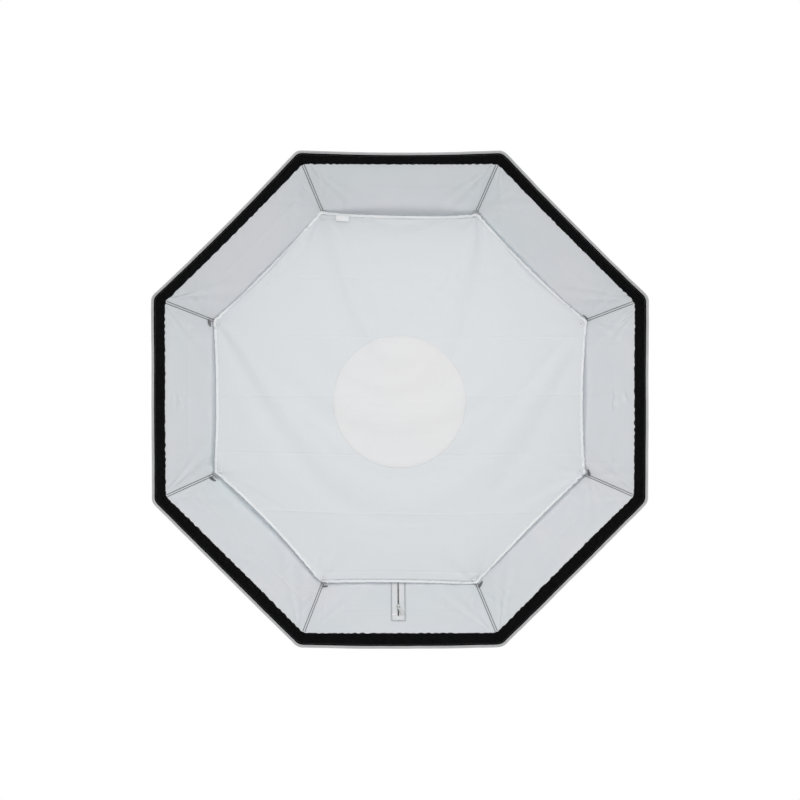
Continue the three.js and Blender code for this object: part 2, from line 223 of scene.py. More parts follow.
class Nodes:
    """A short way to write a material's nodes."""

    def __init__(self, name, color, roughness, metallic=0.0, **shader):
        self.material = bpy.data.materials.new(name)
        self.material.use_nodes = True
        self.tree = self.material.node_tree
        self.shader = self.tree.nodes["Principled BSDF"]
        self.set("Base Color", (*color, 1.0))
        self.set("Roughness", roughness)
        self.set("Metallic", metallic)
        for socket, value in shader.items():
            self.set(socket.replace("_", " "), value)

    def set(self, socket, value):
        self.shader.inputs[socket].default_value = value

    def add(self, kind, links=None, **values):
        """Adds a node. links maps its input sockets to outputs, and values sets the rest."""
        node = self.tree.nodes.new(kind)
        for key, value in values.items():
            if hasattr(node, key):
                setattr(node, key, value)
            else:
                node.inputs[key.replace("_", " ")].default_value = value
        for socket, output in (links or {}).items():
            self.tree.links.new(output, node.inputs[socket])
        return node

    def link(self, output, socket):
        self.tree.links.new(output, self.shader.inputs[socket])

    def coordinates(self, woven):
        """Metres along the cloth for a piece with a cloth map, otherwise metres in the frame."""
        if woven:
            return self.add("ShaderNodeUVMap", uv_map="cloth").outputs["UV"]
        return self.add("ShaderNodeTexCoord").outputs["Object"]

    def noise(self, where, scale, detail=4.0):
        return self.add("ShaderNodeTexNoise", {"Vector": where}, Scale=scale, Detail=detail).outputs["Fac"]

    def ribs(self, where, direction, scale, distortion=0.0):
        """Evenly spaced waves along one direction."""
        return self.add("ShaderNodeTexWave", {"Vector": where}, bands_direction=direction, Scale=scale,
                        Distortion=distortion).outputs["Fac"]

    def tint(self, factor, colors, positions=(0.3, 0.7)):
        """Base colour that runs between colours with a factor."""
        ramp = self.add("ShaderNodeValToRGB", {"Fac": factor})
        stops = ramp.color_ramp.elements
        for stop, color, position in zip(stops, colors, positions):
            stop.color, stop.position = (*color, 1.0), position
        self.link(ramp.outputs["Color"], "Base Color")
        return ramp

    def vary_roughness(self, factor, low, high):
        spread = self.add("ShaderNodeMapRange", {"Value": factor})
        spread.inputs["To Min"].default_value = low
        spread.inputs["To Max"].default_value = high
        self.link(spread.outputs["Result"], "Roughness")

    def weave(self, where, pitch, steep=1.0):
        """A plain weave: the height of two crossed sets of threads, pitch apart."""
        apart = self.add("ShaderNodeSeparateXYZ", {"Vector": where})
        waves = []
        for axis in ("X", "Y"):
            turned = self.add("ShaderNodeMath", {0: apart.outputs[axis]}, operation="MULTIPLY")
            turned.inputs[1].default_value = math.pi / pitch
            wave = self.add("ShaderNodeMath", {0: turned.outputs[0]}, operation="SINE")
            waves.append(self.add("ShaderNodeMath", {0: wave.outputs[0]}, operation="ABSOLUTE").outputs[0])
        both = self.add("ShaderNodeMath", {0: waves[0], 1: waves[1]}, operation="MULTIPLY")
        height = self.add("ShaderNodeMath", {0: both.outputs[0]}, operation="POWER")
        height.inputs[1].default_value = steep
        return height.outputs[0]

    def bump(self, *layers):
        """Bump from (height, distance in metres) layers, the coarse ones first."""
        normal = None
        for height, distance in layers:
            node = self.add("ShaderNodeBump", {"Height": height}, Distance=distance)
            if normal is not None:
                self.tree.links.new(normal, node.inputs["Normal"])
            normal = node.outputs["Normal"]
        self.link(normal, "Normal")


def cloth_material(name, color, other, roughness, pitch, cockle=0.0006, metallic=0.0, **shader):
    """Woven cloth with slow colour variation, thread relief and a faint cockle."""
    m = Nodes(name, color, roughness, metallic, **shader)
    cloth = m.coordinates(True)
    space = m.coordinates(False)
    m.tint(m.noise(space, 5.0, 3.0), (color, other))
    m.vary_roughness(m.noise(space, 60.0), roughness - 0.06, roughness + 0.06)
    m.bump((m.noise(space, 14.0, 2.0), cockle), (m.weave(cloth, pitch), pitch * 0.12))
    return m.material


def lining_material():
    return cloth_material("silver_lining", (0.66, 0.70, 0.715), (0.70, 0.70, 0.725), 0.48, 0.0007,
                          metallic=0.15, Sheen_Weight=0.15)


def shell_material():
    """Black nylon with a fine ripstop grid."""
    m = Nodes("black_nylon", (0.009, 0.009, 0.010), 0.60, Specular_IOR_Level=0.28, Sheen_Weight=0.05,
              Sheen_Roughness=0.4)
    cloth, space = m.coordinates(True), m.coordinates(False)
    m.tint(m.noise(space, 4.0), ((0.007, 0.007, 0.008), (0.013, 0.013, 0.015)))
    m.vary_roughness(m.noise(space, 40.0), 0.52, 0.70)
    m.bump((m.noise(space, 12.0, 2.0), 0.0008),
           (m.weave(cloth, 0.005, 6.0), 0.00025), (m.weave(cloth, 0.0006), 0.00012))
    return m.material


def fleece_material():
    """The loop side of hook-and-loop tape: a deep matt pile, with the hollows between its clumps painted
    darker (painted shade).
    """
    m = Nodes("black_fleece", (0.003, 0.003, 0.0033), 1.0, Specular_IOR_Level=0.03, Sheen_Weight=0.01,
              Sheen_Roughness=0.5)
    space = m.coordinates(False)
    pile = m.noise(space, 900.0, 6.0)
    clumps = m.noise(space, 160.0, 3.0)
    # Painted shade: the clumps that raise the pile also set its tint, so the hollows between them are darker.
    m.tint(clumps, ((0.0015, 0.0015, 0.0018), (0.005, 0.005, 0.0055)))
    m.bump((clumps, 0.0012), (pile, 0.0008))
    return m.material


def tape_material(name, color, other, roughness=0.75):
    """Grosgrain tape: ribs across the tape."""
    m = Nodes(name, color, roughness, Sheen_Weight=0.2)
    cloth, space = m.coordinates(True), m.coordinates(False)
    m.tint(m.noise(space, 30.0), (color, other))
    ribs = m.ribs(cloth, "X", 700.0, 0.4)
    m.bump((m.noise(space, 60.0), 0.0004), (ribs, 0.00015))
    return m.material


def diffuser_material(name, color, other):
    """White diffusing cloth with a soft, fine weave."""
    m = Nodes(name, color, 0.8, Sheen_Weight=0.1)
    cloth, space = m.coordinates(True), m.coordinates(False)
    m.tint(m.noise(space, 3.0, 2.0), (color, other))
    m.bump((m.noise(space, 10.0, 2.0), 0.0012), (m.weave(cloth, 0.0006), 0.00008))
    return m.material


def metal_material(name, color, roughness, scratch=0.1, grain=400.0):
    """Turned or drawn metal with fine grain and worn gloss."""
    m = Nodes(name, color, roughness, 1.0)
    space = m.coordinates(False)
    m.vary_roughness(m.noise(space, 35.0, 6.0), roughness - scratch, roughness + scratch)
    m.bump((m.noise(space, grain, 8.0), 0.00006))
    return m.material


def coated_material():
    """Black powder coat: fine orange peel, rubbed a little grey."""
    m = Nodes("black_alloy", (0.014, 0.014, 0.015), 0.42, Coat_Weight=0.25, Coat_Roughness=0.35)
    space = m.coordinates(False)
    m.tint(m.noise(space, 22.0, 8.0), ((0.011, 0.011, 0.012), (0.030, 0.030, 0.032)), (0.45, 0.8))
    m.bump((m.noise(space, 700.0, 3.0), 0.00012))
    return m.material


def plastic_material(name, color, other, roughness):
    m = Nodes(name, color, roughness)
    space = m.coordinates(False)
    m.tint(m.noise(space, 45.0), (color, other))
    m.bump((m.noise(space, 1200.0, 2.0), 0.00008))
    return m.material


def thread_material(name, color):
    """Sewing thread: a twist along each stitch, with the twist's grooves painted darker (painted shade)."""
    m = Nodes(name, color, 0.6, Sheen_Weight=0.3)
    space = m.coordinates(False)
    twist = m.ribs(space, "DIAGONAL", 900.0)
    # Painted shade: the tint follows the twist's relief, so the grooves come out darker.
    m.tint(twist, (tuple(0.85 * c for c in color), color))
    m.bump((twist, 0.0001))
    return m.material


LINING = lining_material()
NYLON = shell_material()
FLEECE = fleece_material()
BINDING = tape_material("grey_binding", (0.42, 0.42, 0.43), (0.50, 0.50, 0.505))
WEBBING = tape_material("grey_webbing", (0.40, 0.41, 0.43), (0.50, 0.50, 0.52))
WHITE_TAPE = tape_material("white_tape", (0.87, 0.895, 0.915), (0.93, 0.94, 0.95))
DIFFUSER = diffuser_material("diffuser_cloth", (0.675, 0.705, 0.725), (0.70, 0.715, 0.735))
PATCH_CLOTH = diffuser_material("patch_cloth", (0.73, 0.735, 0.745), (0.75, 0.748, 0.75))
ZIP_TAPE = tape_material("zip_tape", (0.75, 0.775, 0.795), (0.80, 0.81, 0.82))
EDGING = tape_material("edging_tape", (0.80, 0.81, 0.82), (0.86, 0.86, 0.865))
# Dark grey elastic for the corner loops: partly the real elastic, partly painted shade in the gaps beside the
# diffuser's corners.
DARK_LOOP_AND_SHADE = tape_material("grey_elastic_and_painted_shade", (0.10, 0.105, 0.11), (0.17, 0.17, 0.175))
SPRING_STEEL = metal_material("spring_steel", (0.42, 0.42, 0.43), 0.3)
BRIGHT = metal_material("bright_alloy", (0.72, 0.72, 0.73), 0.3)
ZINC = metal_material("zinc_hardware", (0.70, 0.70, 0.69), 0.22)
COATED = coated_material()
KNOB = plastic_material("knob_plastic", (0.012, 0.012, 0.012), (0.02, 0.02, 0.02), 0.45)
PAD = plastic_material("nylon_pad", (0.75, 0.74, 0.68), (0.8, 0.79, 0.74), 0.5)
# Near-black thread for the inside seams: the thread's own colour together with painted shade of the creases
# along them.
DARK_THREAD_AND_SEAM_SHADE = thread_material("dark_thread_and_seam_shade", (0.060, 0.068, 0.085))
BLACK_THREAD = thread_material("black_thread", (0.02, 0.02, 0.02))
PALE_THREAD = thread_material("pale_thread", (0.80, 0.81, 0.83))
BRIGHT_THREAD = thread_material("bright_thread", (0.98, 0.98, 0.98))
ENAMEL = plastic_material("white_enamel", (0.74, 0.75, 0.765), (0.78, 0.78, 0.79), 0.4)
# Black zip coil: it also paints the shade in the groove between the zip's tapes.
COIL_AND_GROOVE_SHADE = plastic_material("zip_coil_and_groove_shade", (0.02, 0.02, 0.022), (0.03, 0.03, 0.032), 0.4)
PULL = metal_material("zip_pull", (0.78, 0.80, 0.77), 0.30)

# ------------------------------------------------------------------ the wall's surface
CORNER_ROUND = 0.024  # radius of the rim's corners
# For each panel, clockwise from the top: how far the rim is drawn in at mid-span, and how far the
# cloth just behind it stands out.
SAG = (0.0053, 0.0033, 0.0003, -0.0012, -0.0036, 0.0, 0.0002, 0.0047)
BELLY = (0.0010, -0.0004, 0.0, -0.0021, -0.0010, -0.0017, 0.0006, -0.0008)
SCALLOP = 0.0172  # from one scallop of the band's inner edge to the next
SEAM = 0.0024  # from the mitre to each line of rib stitching inside
OUTER_SEAMS = (0.0085, 0.0115)  # and outside, through the sleeve's flanges
RIGHT, BOTTOM, LEFT = 2, 4, 6  # panels are numbered clockwise from 0 at the top
# How strongly each end of a panel is creased, where it differs from the rest.
CREASED = {(0, -1): 1.5, (0, 1): 1.2, (1, -1): 1.1, (2, -1): 1.5, (7, -1): 1.6, (6, 1): 1.1, (5, 1): 0.8,
           (3, 1): 0.9, (4, 1): 0.3, (4, -1): 0.4}
ZIP_X = -0.0030  # the zip is sewn a little off the bottom panel's middle


def smooth(x, low, high):
    t = np.clip((x - low) / (high - low), 0.0, 1.0)
    return t * t * (3 - 2 * t)


def bell(x, width):
    return np.exp(-((x / width) ** 2))


def arc(s, out=0.0):
    """Inradius and y of the point s along a panel, out from its outer line, and its slope."""
    slope = RIM_SLOPE + s / ARC_RADIUS
    radius = ARC_RADIUS + out
    return ARC_A + radius * np.cos(slope), ARC_Y + radius * np.sin(slope), slope


def half_width(s):
    return arc(s)[0] * SLANT


def corner_folds(panel, x, s):
    """Tension folds that fan out from the ends of the rim and from the diffuser's straps."""
    draw = np.random.default_rng(31 + panel)
    total = np.zeros_like(x)
    for side in (-1, 1):
        for start, reach, height in ((0.030, 0.085, 0.0008), (0.178, 0.060, 0.0011)):
            along = s - start
            inward = half_width(s) - side * x
            distance = np.hypot(along, inward)
            angle = np.arctan2(inward, np.abs(along) + 1e-6)
            count = draw.uniform(16, 24)
            phase = draw.uniform(0, 2 * math.pi)
            middle = draw.uniform(0.25, 0.55)
            fade = (distance / reach) * np.exp(1 - distance / reach)
            spread = bell(angle - middle, 0.30)
            strength = height * draw.uniform(0.6, 1.3)
            total += strength * np.sin(count * angle + phase) * fade * spread
    return total


def rim_creases(panel, x, s):
    """Sharp creases that run from the ends of the rim down beside the ribs."""
    total = np.zeros_like(x)
    for side in (-1, 1):
        draw = np.random.default_rng(211 + 2 * panel + (side > 0))
        inward = half_width(s) - side * x
        strength = CREASED.get((panel % SIDES, side), 0.7)
        for _ in range(7):
            start_s, start_in = draw.uniform(0.040, 0.052), draw.uniform(0.004, 0.026)
            bearing, bend = 0.6 * draw.uniform(0.05, 1.0) ** 1.6, draw.uniform(-2.5, 2.5)
            length, width = draw.uniform(0.022, 0.075), draw.uniform(0.0011, 0.0021)
            height = strength * draw.uniform(0.0004, 0.0011)
            c, r = math.cos(bearing), math.sin(bearing)
            along = (s - start_s) * c + (inward - start_in) * r
            aside = (inward - start_in) * c - (s - start_s) * r - bend * along**2
            ridge = bell(aside, width) - 0.7 * bell(aside - 1.5 * width, 1.3 * width)
            fade = smooth(along, -0.004, 0.006) * (1 - smooth(along, 0.45 * length, length))
            total += height * ridge * fade
    return total


def slow_waves(panel, x, s):
    """Broad shallow unevenness of cloth that isn't quite tight."""
    draw = np.random.default_rng(71 + panel)
    total = np.zeros_like(x)
    for _ in range(7):
        across, along = draw.uniform(-45, 45), draw.uniform(8, 40)
        total += 0.00028 * np.sin(across * x + along * s + draw.uniform(0, 6.28))
    return total


def storage_creases(panel, x, s):
    """Sharp little ridges left by folding, along and across each panel, and dents in the side panels."""
    draw = np.random.default_rng(131 + panel)
    total = np.zeros_like(x)
    for place in (0.0, draw.uniform(0.08, 0.13), -draw.uniform(0.08, 0.13)):
        total += 0.0006 * bell(x - place - 0.05 * (s - 0.1) * draw.uniform(-1, 1), 0.0022)
    for place in (0.115, 0.235, 0.35):
        total += 0.0005 * bell(s - place - 0.02 * x * draw.uniform(-1, 1), 0.0022)
    if panel in (LEFT, RIGHT):
        for _ in range(14):
            at_x, at_s = draw.uniform(-0.016, 0.016), draw.uniform(0.056, 0.112)
            lean = draw.uniform(-0.9, 0.9)
            down = (s - at_s) + lean * (x - at_x)
            across = (x - at_x) - lean * (s - at_s)
            height = draw.choice((-1, 1)) * draw.uniform(0.0012, 0.0024)
            total += height * bell(across, 0.0070) * bell(down, 0.0032)
    return total


def band_wave(panel, x):
    """How far the band's sewn edge wanders along the wall."""
    draw = np.random.default_rng(173 + panel)
    slow = 3.2 * np.sin(draw.uniform(24, 50) * x + draw.uniform(0, 6.28))
    steady = np.sin(2 * math.pi * x / SCALLOP + slow + draw.uniform(0, 6.28))
    uneven = 0.9 + 0.9 * np.sin(draw.uniform(20, 60) * x + draw.uniform(0, 6.28))
    small = sum(draw.uniform(0.3, 0.8) * np.sin(draw.uniform(90, 620) * x + draw.uniform(0, 6.28))
                for _ in range(6))
    return 0.0007 * uneven * steady + 0.0006 * small


def wall(panel, x, s, out=0.0, fold=1.0):
    """Points on a panel's cloth: x across it, s along it from the rim, out from its outer line."""
    x, s = np.broadcast_arrays(np.asarray(x, float), np.asarray(s, float))
    half = half_width(s)
    edge = np.clip(half - np.abs(x), 0.0, None)
    flat = smooth(np.abs(x + ZIP_X), 0.016, 0.034) if panel == BOTTOM else 1.0
    calm = flat * smooth(edge, 0.004, 0.020) * (0.35 + 0.65 * smooth(s, 0.046, 0.075))
    relief = fold * calm * (corner_folds(panel, x, s) + slow_waves(panel, x, s)
                            + storage_creases(panel, x, s) * smooth(s, 0.048, 0.056))
    relief += fold * flat * smooth(edge, 0.003, 0.009) * smooth(s, 0.043, 0.049) * rim_creases(panel, x, s)
    gather = fold * calm * 0.5 * band_wave(panel, x) * bell(s - 0.050, 0.009) * smooth(s, 0.036, 0.046)
    tangent_length = CORNER_ROUND * SLANT
    into = np.clip(tangent_length - edge, 0.0, None)
    inset = CORNER_ROUND - np.sqrt(CORNER_ROUND**2 - into**2)
    bow = 1 - (x / half) ** 2
    sag, belly = SAG[panel % SIDES], BELLY[panel % SIDES]
    hang = sag * (1 - smooth(s, 0.0, 0.075)) - belly * bell(s - 0.05, 0.03) * (1 - bell(s, 0.02))
    out = out + relief + gather - inset * (1 - smooth(s, 0.045, 0.10)) - bow * hang
    a, y, _ = arc(s, out)
    points = np.stack([x * a / arc(s)[0], y, a], axis=-1)
    return turn_y(points, panel * STEP)


def wall_normal(panel, s):
    """The outward direction of a panel's cloth at s."""
    slope = arc(s)[2]
    return turn_y(np.stack([np.zeros_like(slope), np.sin(slope), np.cos(slope)], axis=-1), panel * STEP)


def seam_across(panel, s, out, sign, count, fold=1.0):
    """A path across a panel at s for stitches, and the way they face: 1 outwards or -1 inwards."""
    level = np.full(count, s)
    path = wall(panel, np.linspace(-1, 1, count) * half_width(s), level, out, fold)
    return path, sign * wall_normal(panel, level)


def beside_mitre(panel, side, distance, s, out=0.0):
    """Points at a distance from the mitre at one side (-1 or 1) of a panel."""
    return wall(panel, side * (half_width(s) - distance), s, out)


def rib_line(s, lift):
    """Points above the mitre between two panels, in the plane x = 0, and their outward direction."""
    slope = arc(s)[2]
    level = -0.0011
    out = unit(np.stack([np.zeros_like(slope), np.sin(slope) / MITRE, np.cos(slope)], axis=-1))
    z = arc(s, level)[0] / MITRE
    y = arc(s, level)[1]
    return np.stack([np.zeros_like(z), y, z], axis=-1) + lift * out, out


# ------------------------------------------------------------------ stitches


def stitches(name, runs, material, pitch=0.0036, length=0.0027, radius=0.00032):
    """One mesh of every stitch along several (path, outward) runs of points."""
    sides = 5
    stations = np.array([-0.5, -0.3, 0.3, 0.5])
    swell = np.array([0.35, 1.0, 1.0, 0.35])
    rise = np.array([-0.5, 0.55, 0.55, -0.5])
    step = 0.001  # to each side of a stitch's middle, for its direction
    angles = turns(sides)
    faces_one = grid_faces(4, sides, wrap_columns=True) + end_faces(4, sides)
    parts = []
    for path, outward in runs:
        outward = np.broadcast_to(np.asarray(outward, float), path.shape)
        travelled = travel(path)
        count = max(int(travelled[-1] / pitch), 1)
        places = (np.arange(count) + 0.5) * travelled[-1] / count

        def along(values, where):
            return np.stack([np.interp(where, travelled, values[:, k]) for k in range(3)], axis=-1)

        up = unit(along(outward, places))
        tangent = unit(along(path, places + step) - along(path, places - step))
        side = unit(np.cross(tangent, up))
        ring = spokes(angles, side, up)[:, None]
        spine = (along(path, places)[:, None] + (stations * length)[None, :, None] * tangent[:, None]
                 + (rise * radius)[None, :, None] * up[:, None])
        points = spine[:, :, None] + radius * swell[None, :, None, None] * ring
        parts += [(stitch.reshape(-1, 3), faces_one) for stitch in points]
    return join(name, parts, material)


def sew(name, runs, thread, body, slot, **sizes):
    """Stitches that ride on a body."""
    finish_piece(stitches(name, runs, thread, **sizes), body, slot)


# ------------------------------------------------------------------ wall panels
ZIP_HALF = 0.0124  # from the middle of the zip to the edges of its slot
ZIP_START, ZIP_END = 0.079, 0.310
SEAM_COLUMNS = (0.0, 0.0007, 0.0014, 0.0020, 0.0024, 0.0027, 0.0030, 0.0034, 0.0041, 0.0055,
                0.0080, 0.0115)
PLAIN_COLUMNS = 88
MIDDLE_COLUMNS = 6


def panel_rows(first):
    near = np.concatenate([np.arange(first, 0.041, 0.0035), np.arange(0.041, 0.205, 0.0024)])
    far = np.arange(0.205, WALL_END, 0.0075)
    rows = np.concatenate([near, far, [WALL_END]])
    for mark in (ZIP_START, ZIP_END):
        rows[np.argmin(np.abs(rows - mark))] = mark
    return rows


def panel_columns(s):
    """The x of each column of vertices at s: fine by the ribs and cut along the zip's sides."""
    half = half_width(s)
    seam = half - np.array(SEAM_COLUMNS)
    t = np.linspace(0, 1, PLAIN_COLUMNS // 2 + 1)[1:]
    plain = seam[-1] + (ZIP_HALF - seam[-1]) * (0.4 * t + 0.6 * t * t)
    middle = np.linspace(ZIP_HALF, 0, MIDDLE_COLUMNS // 2 + 1)[1:]
    right = np.concatenate([seam, plain, middle])
    return np.concatenate([-right, right[-2::-1]])


def panel_sheet(name, panel, level, material, inside):
    """One layer of a wall panel, seen from inside or outside, with the zip's slot if it has one."""
    rows = panel_rows(0.0025)
    x = np.array([panel_columns(s) for s in rows])
    middle = np.abs(x[0] + np.roll(x[0], -1)) / 2 < ZIP_HALF
    if panel == BOTTOM:
        x = x - ZIP_X * (1 - smooth(np.abs(x), ZIP_HALF, 0.05))
    s = np.broadcast_to(rows[:, None], x.shape)
    edge = half_width(s) - np.abs(x)
    groove = 0.0010 * bell(edge - SEAM, 0.0006)
    lip = 0.0005 * bell(edge, 0.0018)
    out = level + (groove + lip if inside else -groove)
    points = wall(panel, x, s, out)
    uv = np.stack([x, s], axis=-1)

    def in_slot(i, j):
        return panel == BOTTOM and middle[j] and ZIP_START <= rows[i] < ZIP_END - 1e-6

    return grid(name, points, material, uv, flip=not inside, skip=in_slot)


def build_panels():
    for panel in range(SIDES):
        lining = panel_sheet(f"lining_panel_{panel + 1}", panel, LINING_LEVEL, LINING, True)
        shell = panel_sheet(f"outer_panel_{panel + 1}", panel, SHELL_LEVEL, NYLON, False)
        for sheet in (lining, shell):
            thicken(sheet, CLOTH)
        finish_piece(lining, "box", "silver_lining", f"panel_{panel + 1}")
        finish_piece(shell, "box", "black_nylon")


def rib_stitching():
    """The two lines of stitching that hold each sleeve, seen from inside and from outside."""
    inside, outside = [], []
    s = np.linspace(0.046, 0.568, 150)
    for panel in range(SIDES):
        normal = wall_normal(panel, s)
        for side in (-1, 1):
            inside.append((beside_mitre(panel, side, SEAM, s, LINING_LEVEL + 0.0003), -normal))
            for distance in OUTER_SEAMS:
                outside.append((beside_mitre(panel, side, distance, s, SLEEVE_FLANGE + 0.0007), normal))
    sew("rib_stitching_inside", inside, DARK_THREAD_AND_SEAM_SHADE, "box", "silver_lining", length=0.0033, radius=0.00042)
    sew("rib_stitching_outside", outside, BLACK_THREAD, "box", "black_nylon", pitch=0.0048, length=0.0036)


# ------------------------------------------------------------------ rods, sleeves and pockets
ROD_RADIUS = 0.00225
ROD_LIFT = 0.005
SLEEVE_FLANGE = -0.0002  # the flanges' level on the panels
SLEEVE_START, SLEEVE_END = 0.045, 0.553
FLANGE = (0.0135, 0.0100, 0.0070)  # from the mitre to each column of a sleeve's flange


def build_sleeves():
    """A strip sewn down beside each rib, arched over the rod and open at both ends."""
    s = np.linspace(SLEEVE_START, SLEEVE_END, 130)
    spine, out = rib_line(s, ROD_LIFT)
    for rib in range(SIDES):
        draw = np.random.default_rng(401 + rib)
        ripple = 1 + 0.05 * np.sin(s * 95 + draw.uniform(0, 6)) + 0.03 * np.sin(s * 231 + draw.uniform(0, 6))
        radius = (ROD_RADIUS + 0.0012) * ripple
        columns = [beside_mitre(rib + 1, -1, distance, s, SLEEVE_FLANGE) for distance in FLANGE]
        for angle in np.radians(np.linspace(20, 160, 11)):
            point = spine + radius[:, None] * (math.cos(angle) * ACROSS + math.sin(angle) * out)
            columns.append(at_rib(point, rib))
        columns += [beside_mitre(rib, 1, distance, s, SLEEVE_FLANGE) for distance in FLANGE[::-1]]
        points = np.stack(columns, axis=1)
        uv = cloth_map(s, np.linspace(-0.02, 0.02, points.shape[1]))[..., ::-1]
        sleeve = grid(f"sleeve_{rib + 1}", points, NYLON, uv)
        subdivide(sleeve)
        thicken(sleeve, 0.0006, 0.0)
        finish_piece(sleeve, "box", "black_nylon", f"rod_sleeve_{rib + 1}")


def build_rods():
    """Spring-steel rods from their pockets at the rim to their sockets in the speed ring."""
    s = np.linspace(0.0172, 0.600, 80)
    spine, _ = rib_line(s, ROD_LIFT)
    for rib in range(SIDES):
        rod = tube(at_rib(spine, rib), ROD_RADIUS)
        rod = join(f"flexed_rod_{rib + 1}", [rod], SPRING_STEEL)
        finish_piece(rod, "box", "spring_steel", f"rod_{rib + 1}")


def build_pockets():
    """Doubled cloth pockets that take the rods' tips, pinched flat and sewn at their ends."""
    start, length, sides = 0.0142, 0.0305, 28
    s = np.linspace(start, start + length, 22)
    along = (s - start) / length
    wide = 0.0043 + 0.0032 * (1 - smooth(along, 0.1, 0.7))
    tall = 0.0012 + 0.0032 * smooth(along, 0.0, 0.16)
    spine, out = rib_line(s, ROD_LIFT)
    ring = spine[:, None] + spokes(turns(sides), wide[:, None] * ACROSS, tall[:, None] * out)
    ridge = 1 + 0.02 * np.sin(np.arange(sides) * 3)[None, :, None]
    faces = grid_faces(len(s), sides, wrap_columns=True) + [tuple(range(sides))]
    for rib in range(SIDES):
        middle = at_rib(spine, rib)[:, None]
        shell = middle + (at_rib(ring, rib) - middle) * ridge
        pocket = add_mesh(f"rod_pocket_{rib + 1}", shell.reshape(-1, 3), faces, NYLON)
        thicken(pocket, 0.0009, -1.0)
        subdivide(pocket)
        finish_piece(pocket, "box", "black_nylon", f"corner_pocket_{rib + 1}")
        seams = []
        for at in (4, 17):
            loop = np.concatenate([shell[at], shell[at][:1]])
            outward = unit(loop - middle[at])
            seams.append((loop + 0.0003 * outward, outward))
        sew(f"pocket_stitching_{rib + 1}", seams, BLACK_THREAD, "box", "black_nylon",
            pitch=0.003, length=0.0022, radius=0.00028)


# ------------------------------------------------------------------ rim
BAND_START, BAND_END = 0.0060, 0.0424
EDGING_END = 0.0442


def rim_columns(count):
    """Positions across a panel as fractions of its half width, closer together at the corners."""
    t = np.linspace(-1, 1, count)
    return np.sin(t * math.pi / 2) * 0.35 + t * 0.65


def around_rim(name, section, material, columns, slot, replaced, shape):
    """A closed hoop round the rim. section lists (s, out) round the tape, and shape moves them."""

    def place(panel, fraction, s, out):
        s, out = shape(panel, fraction * half_width(s), s, out)
        return fraction * half_width(s), s, out

    rings = []
    for panel in range(SIDES):
        spots = np.array([[place(panel, fraction, *spot) for spot in section]
                          for fraction in rim_columns(columns)[:-1]])
        rings.append(wall(panel, *np.moveaxis(spots, -1, 0)))
    points = np.concatenate(rings)
    length = np.arange(len(points)) * (2 * half_width(0.0) / (columns - 1))
    uv = cloth_map(length, travel(points[0]))
    piece = grid(name, points, material, uv, wrap_rows=True, wrap_columns=True)
    subdivide(piece)
    finish_piece(piece, "box", slot, replaced)


def tape_section(start, end, low, high, parts, bulge=0.0):
    """A flat tape's section as (s, out) pairs, a little crowned on its inner side."""
    s = np.linspace(start, end, parts)
    crown = bulge * np.sin(np.linspace(0, math.pi, parts))
    inner = [(a, low - c) for a, c in zip(s, crown)]
    outer = [(a, high) for a in s[::-1]]
    return inner + outer


def build_rim():
    draw = np.random.default_rng(907)
    waves = [(draw.uniform(60, 400), draw.uniform(0, 6.28), draw.uniform(0.2, 1.0)) for _ in range(8)]
    pile = np.random.default_rng(911)

    def wander(panel, x):
        return sum(h * np.sin(k * x + phase + 1.7 * panel) for k, phase, h in waves) / 8

    def fuzzy(panel, x, s, out):
        share = (s - BAND_START) / (BAND_END - BAND_START)
        s = s + band_wave(panel, x) * max(0.0, 5 * share - 4) + 0.0005 * wander(panel, x)
        if out < LINING_LEVEL - 0.0008:
            out = out - 0.0003 * pile.uniform(-1, 1) + 0.0005 * wander(panel, x)
        return s, out

    around_rim("fleece_band", tape_section(BAND_START, BAND_END, -0.0041, -0.0026, 18, 0.0002),
               FLEECE, 220, "black_fleece", "hook_loop_band", fuzzy)

    def scalloped(panel, x, s, out):
        wave = band_wave(panel, x)
        shift = 0.4 * wave + 0.0006 * wander(panel, 3 * x) if s > BAND_END else 0.0
        return s + shift, out - 0.25 * abs(wave)

    around_rim("scalloped_edging", tape_section(BAND_END - 0.0035, EDGING_END, -0.0033, -0.0025, 5),
               EDGING, 220, "white_tape", "band_edging", scalloped)

    fold = [(0.0098, -0.0004), (0.0060, -0.0003), (0.0018, -0.0003), (0.0006, -0.0006), (0.0002, -0.0014),
            (0.0005, -0.0024), (0.0014, -0.0030), (0.0034, -0.0032), (0.0060, -0.0030),
            (0.0064, -0.0028), (0.0058, -0.0026), (0.0024, -0.0026), (0.0017, -0.0022),
            (0.0017, -0.0012), (0.0024, -0.0009), (0.0098, -0.0008)]

    def loose(panel, x, s, out):
        return s + 0.0004 * wander(panel, x), out + 0.0002 * wander(panel, 1.3 * x)

    around_rim("edge_binding", fold, BINDING, 120, "grey_binding", "rim_binding", loose)

    binding_runs = [seam_across(panel, 0.0047, -0.0033, -1, 120) for panel in range(SIDES)]
    binding_runs += [seam_across(panel, 0.0083, -0.0001, 1, 120) for panel in range(SIDES)]
    band_runs = [seam_across(panel, s, -0.0044, -1, 120) for panel in range(SIDES) for s in (0.0088, 0.0395)]
    sew("binding_stitching", binding_runs, PALE_THREAD, "box", "grey_binding")
    sew("band_stitching", band_runs, BLACK_THREAD, "box", "black_fleece")


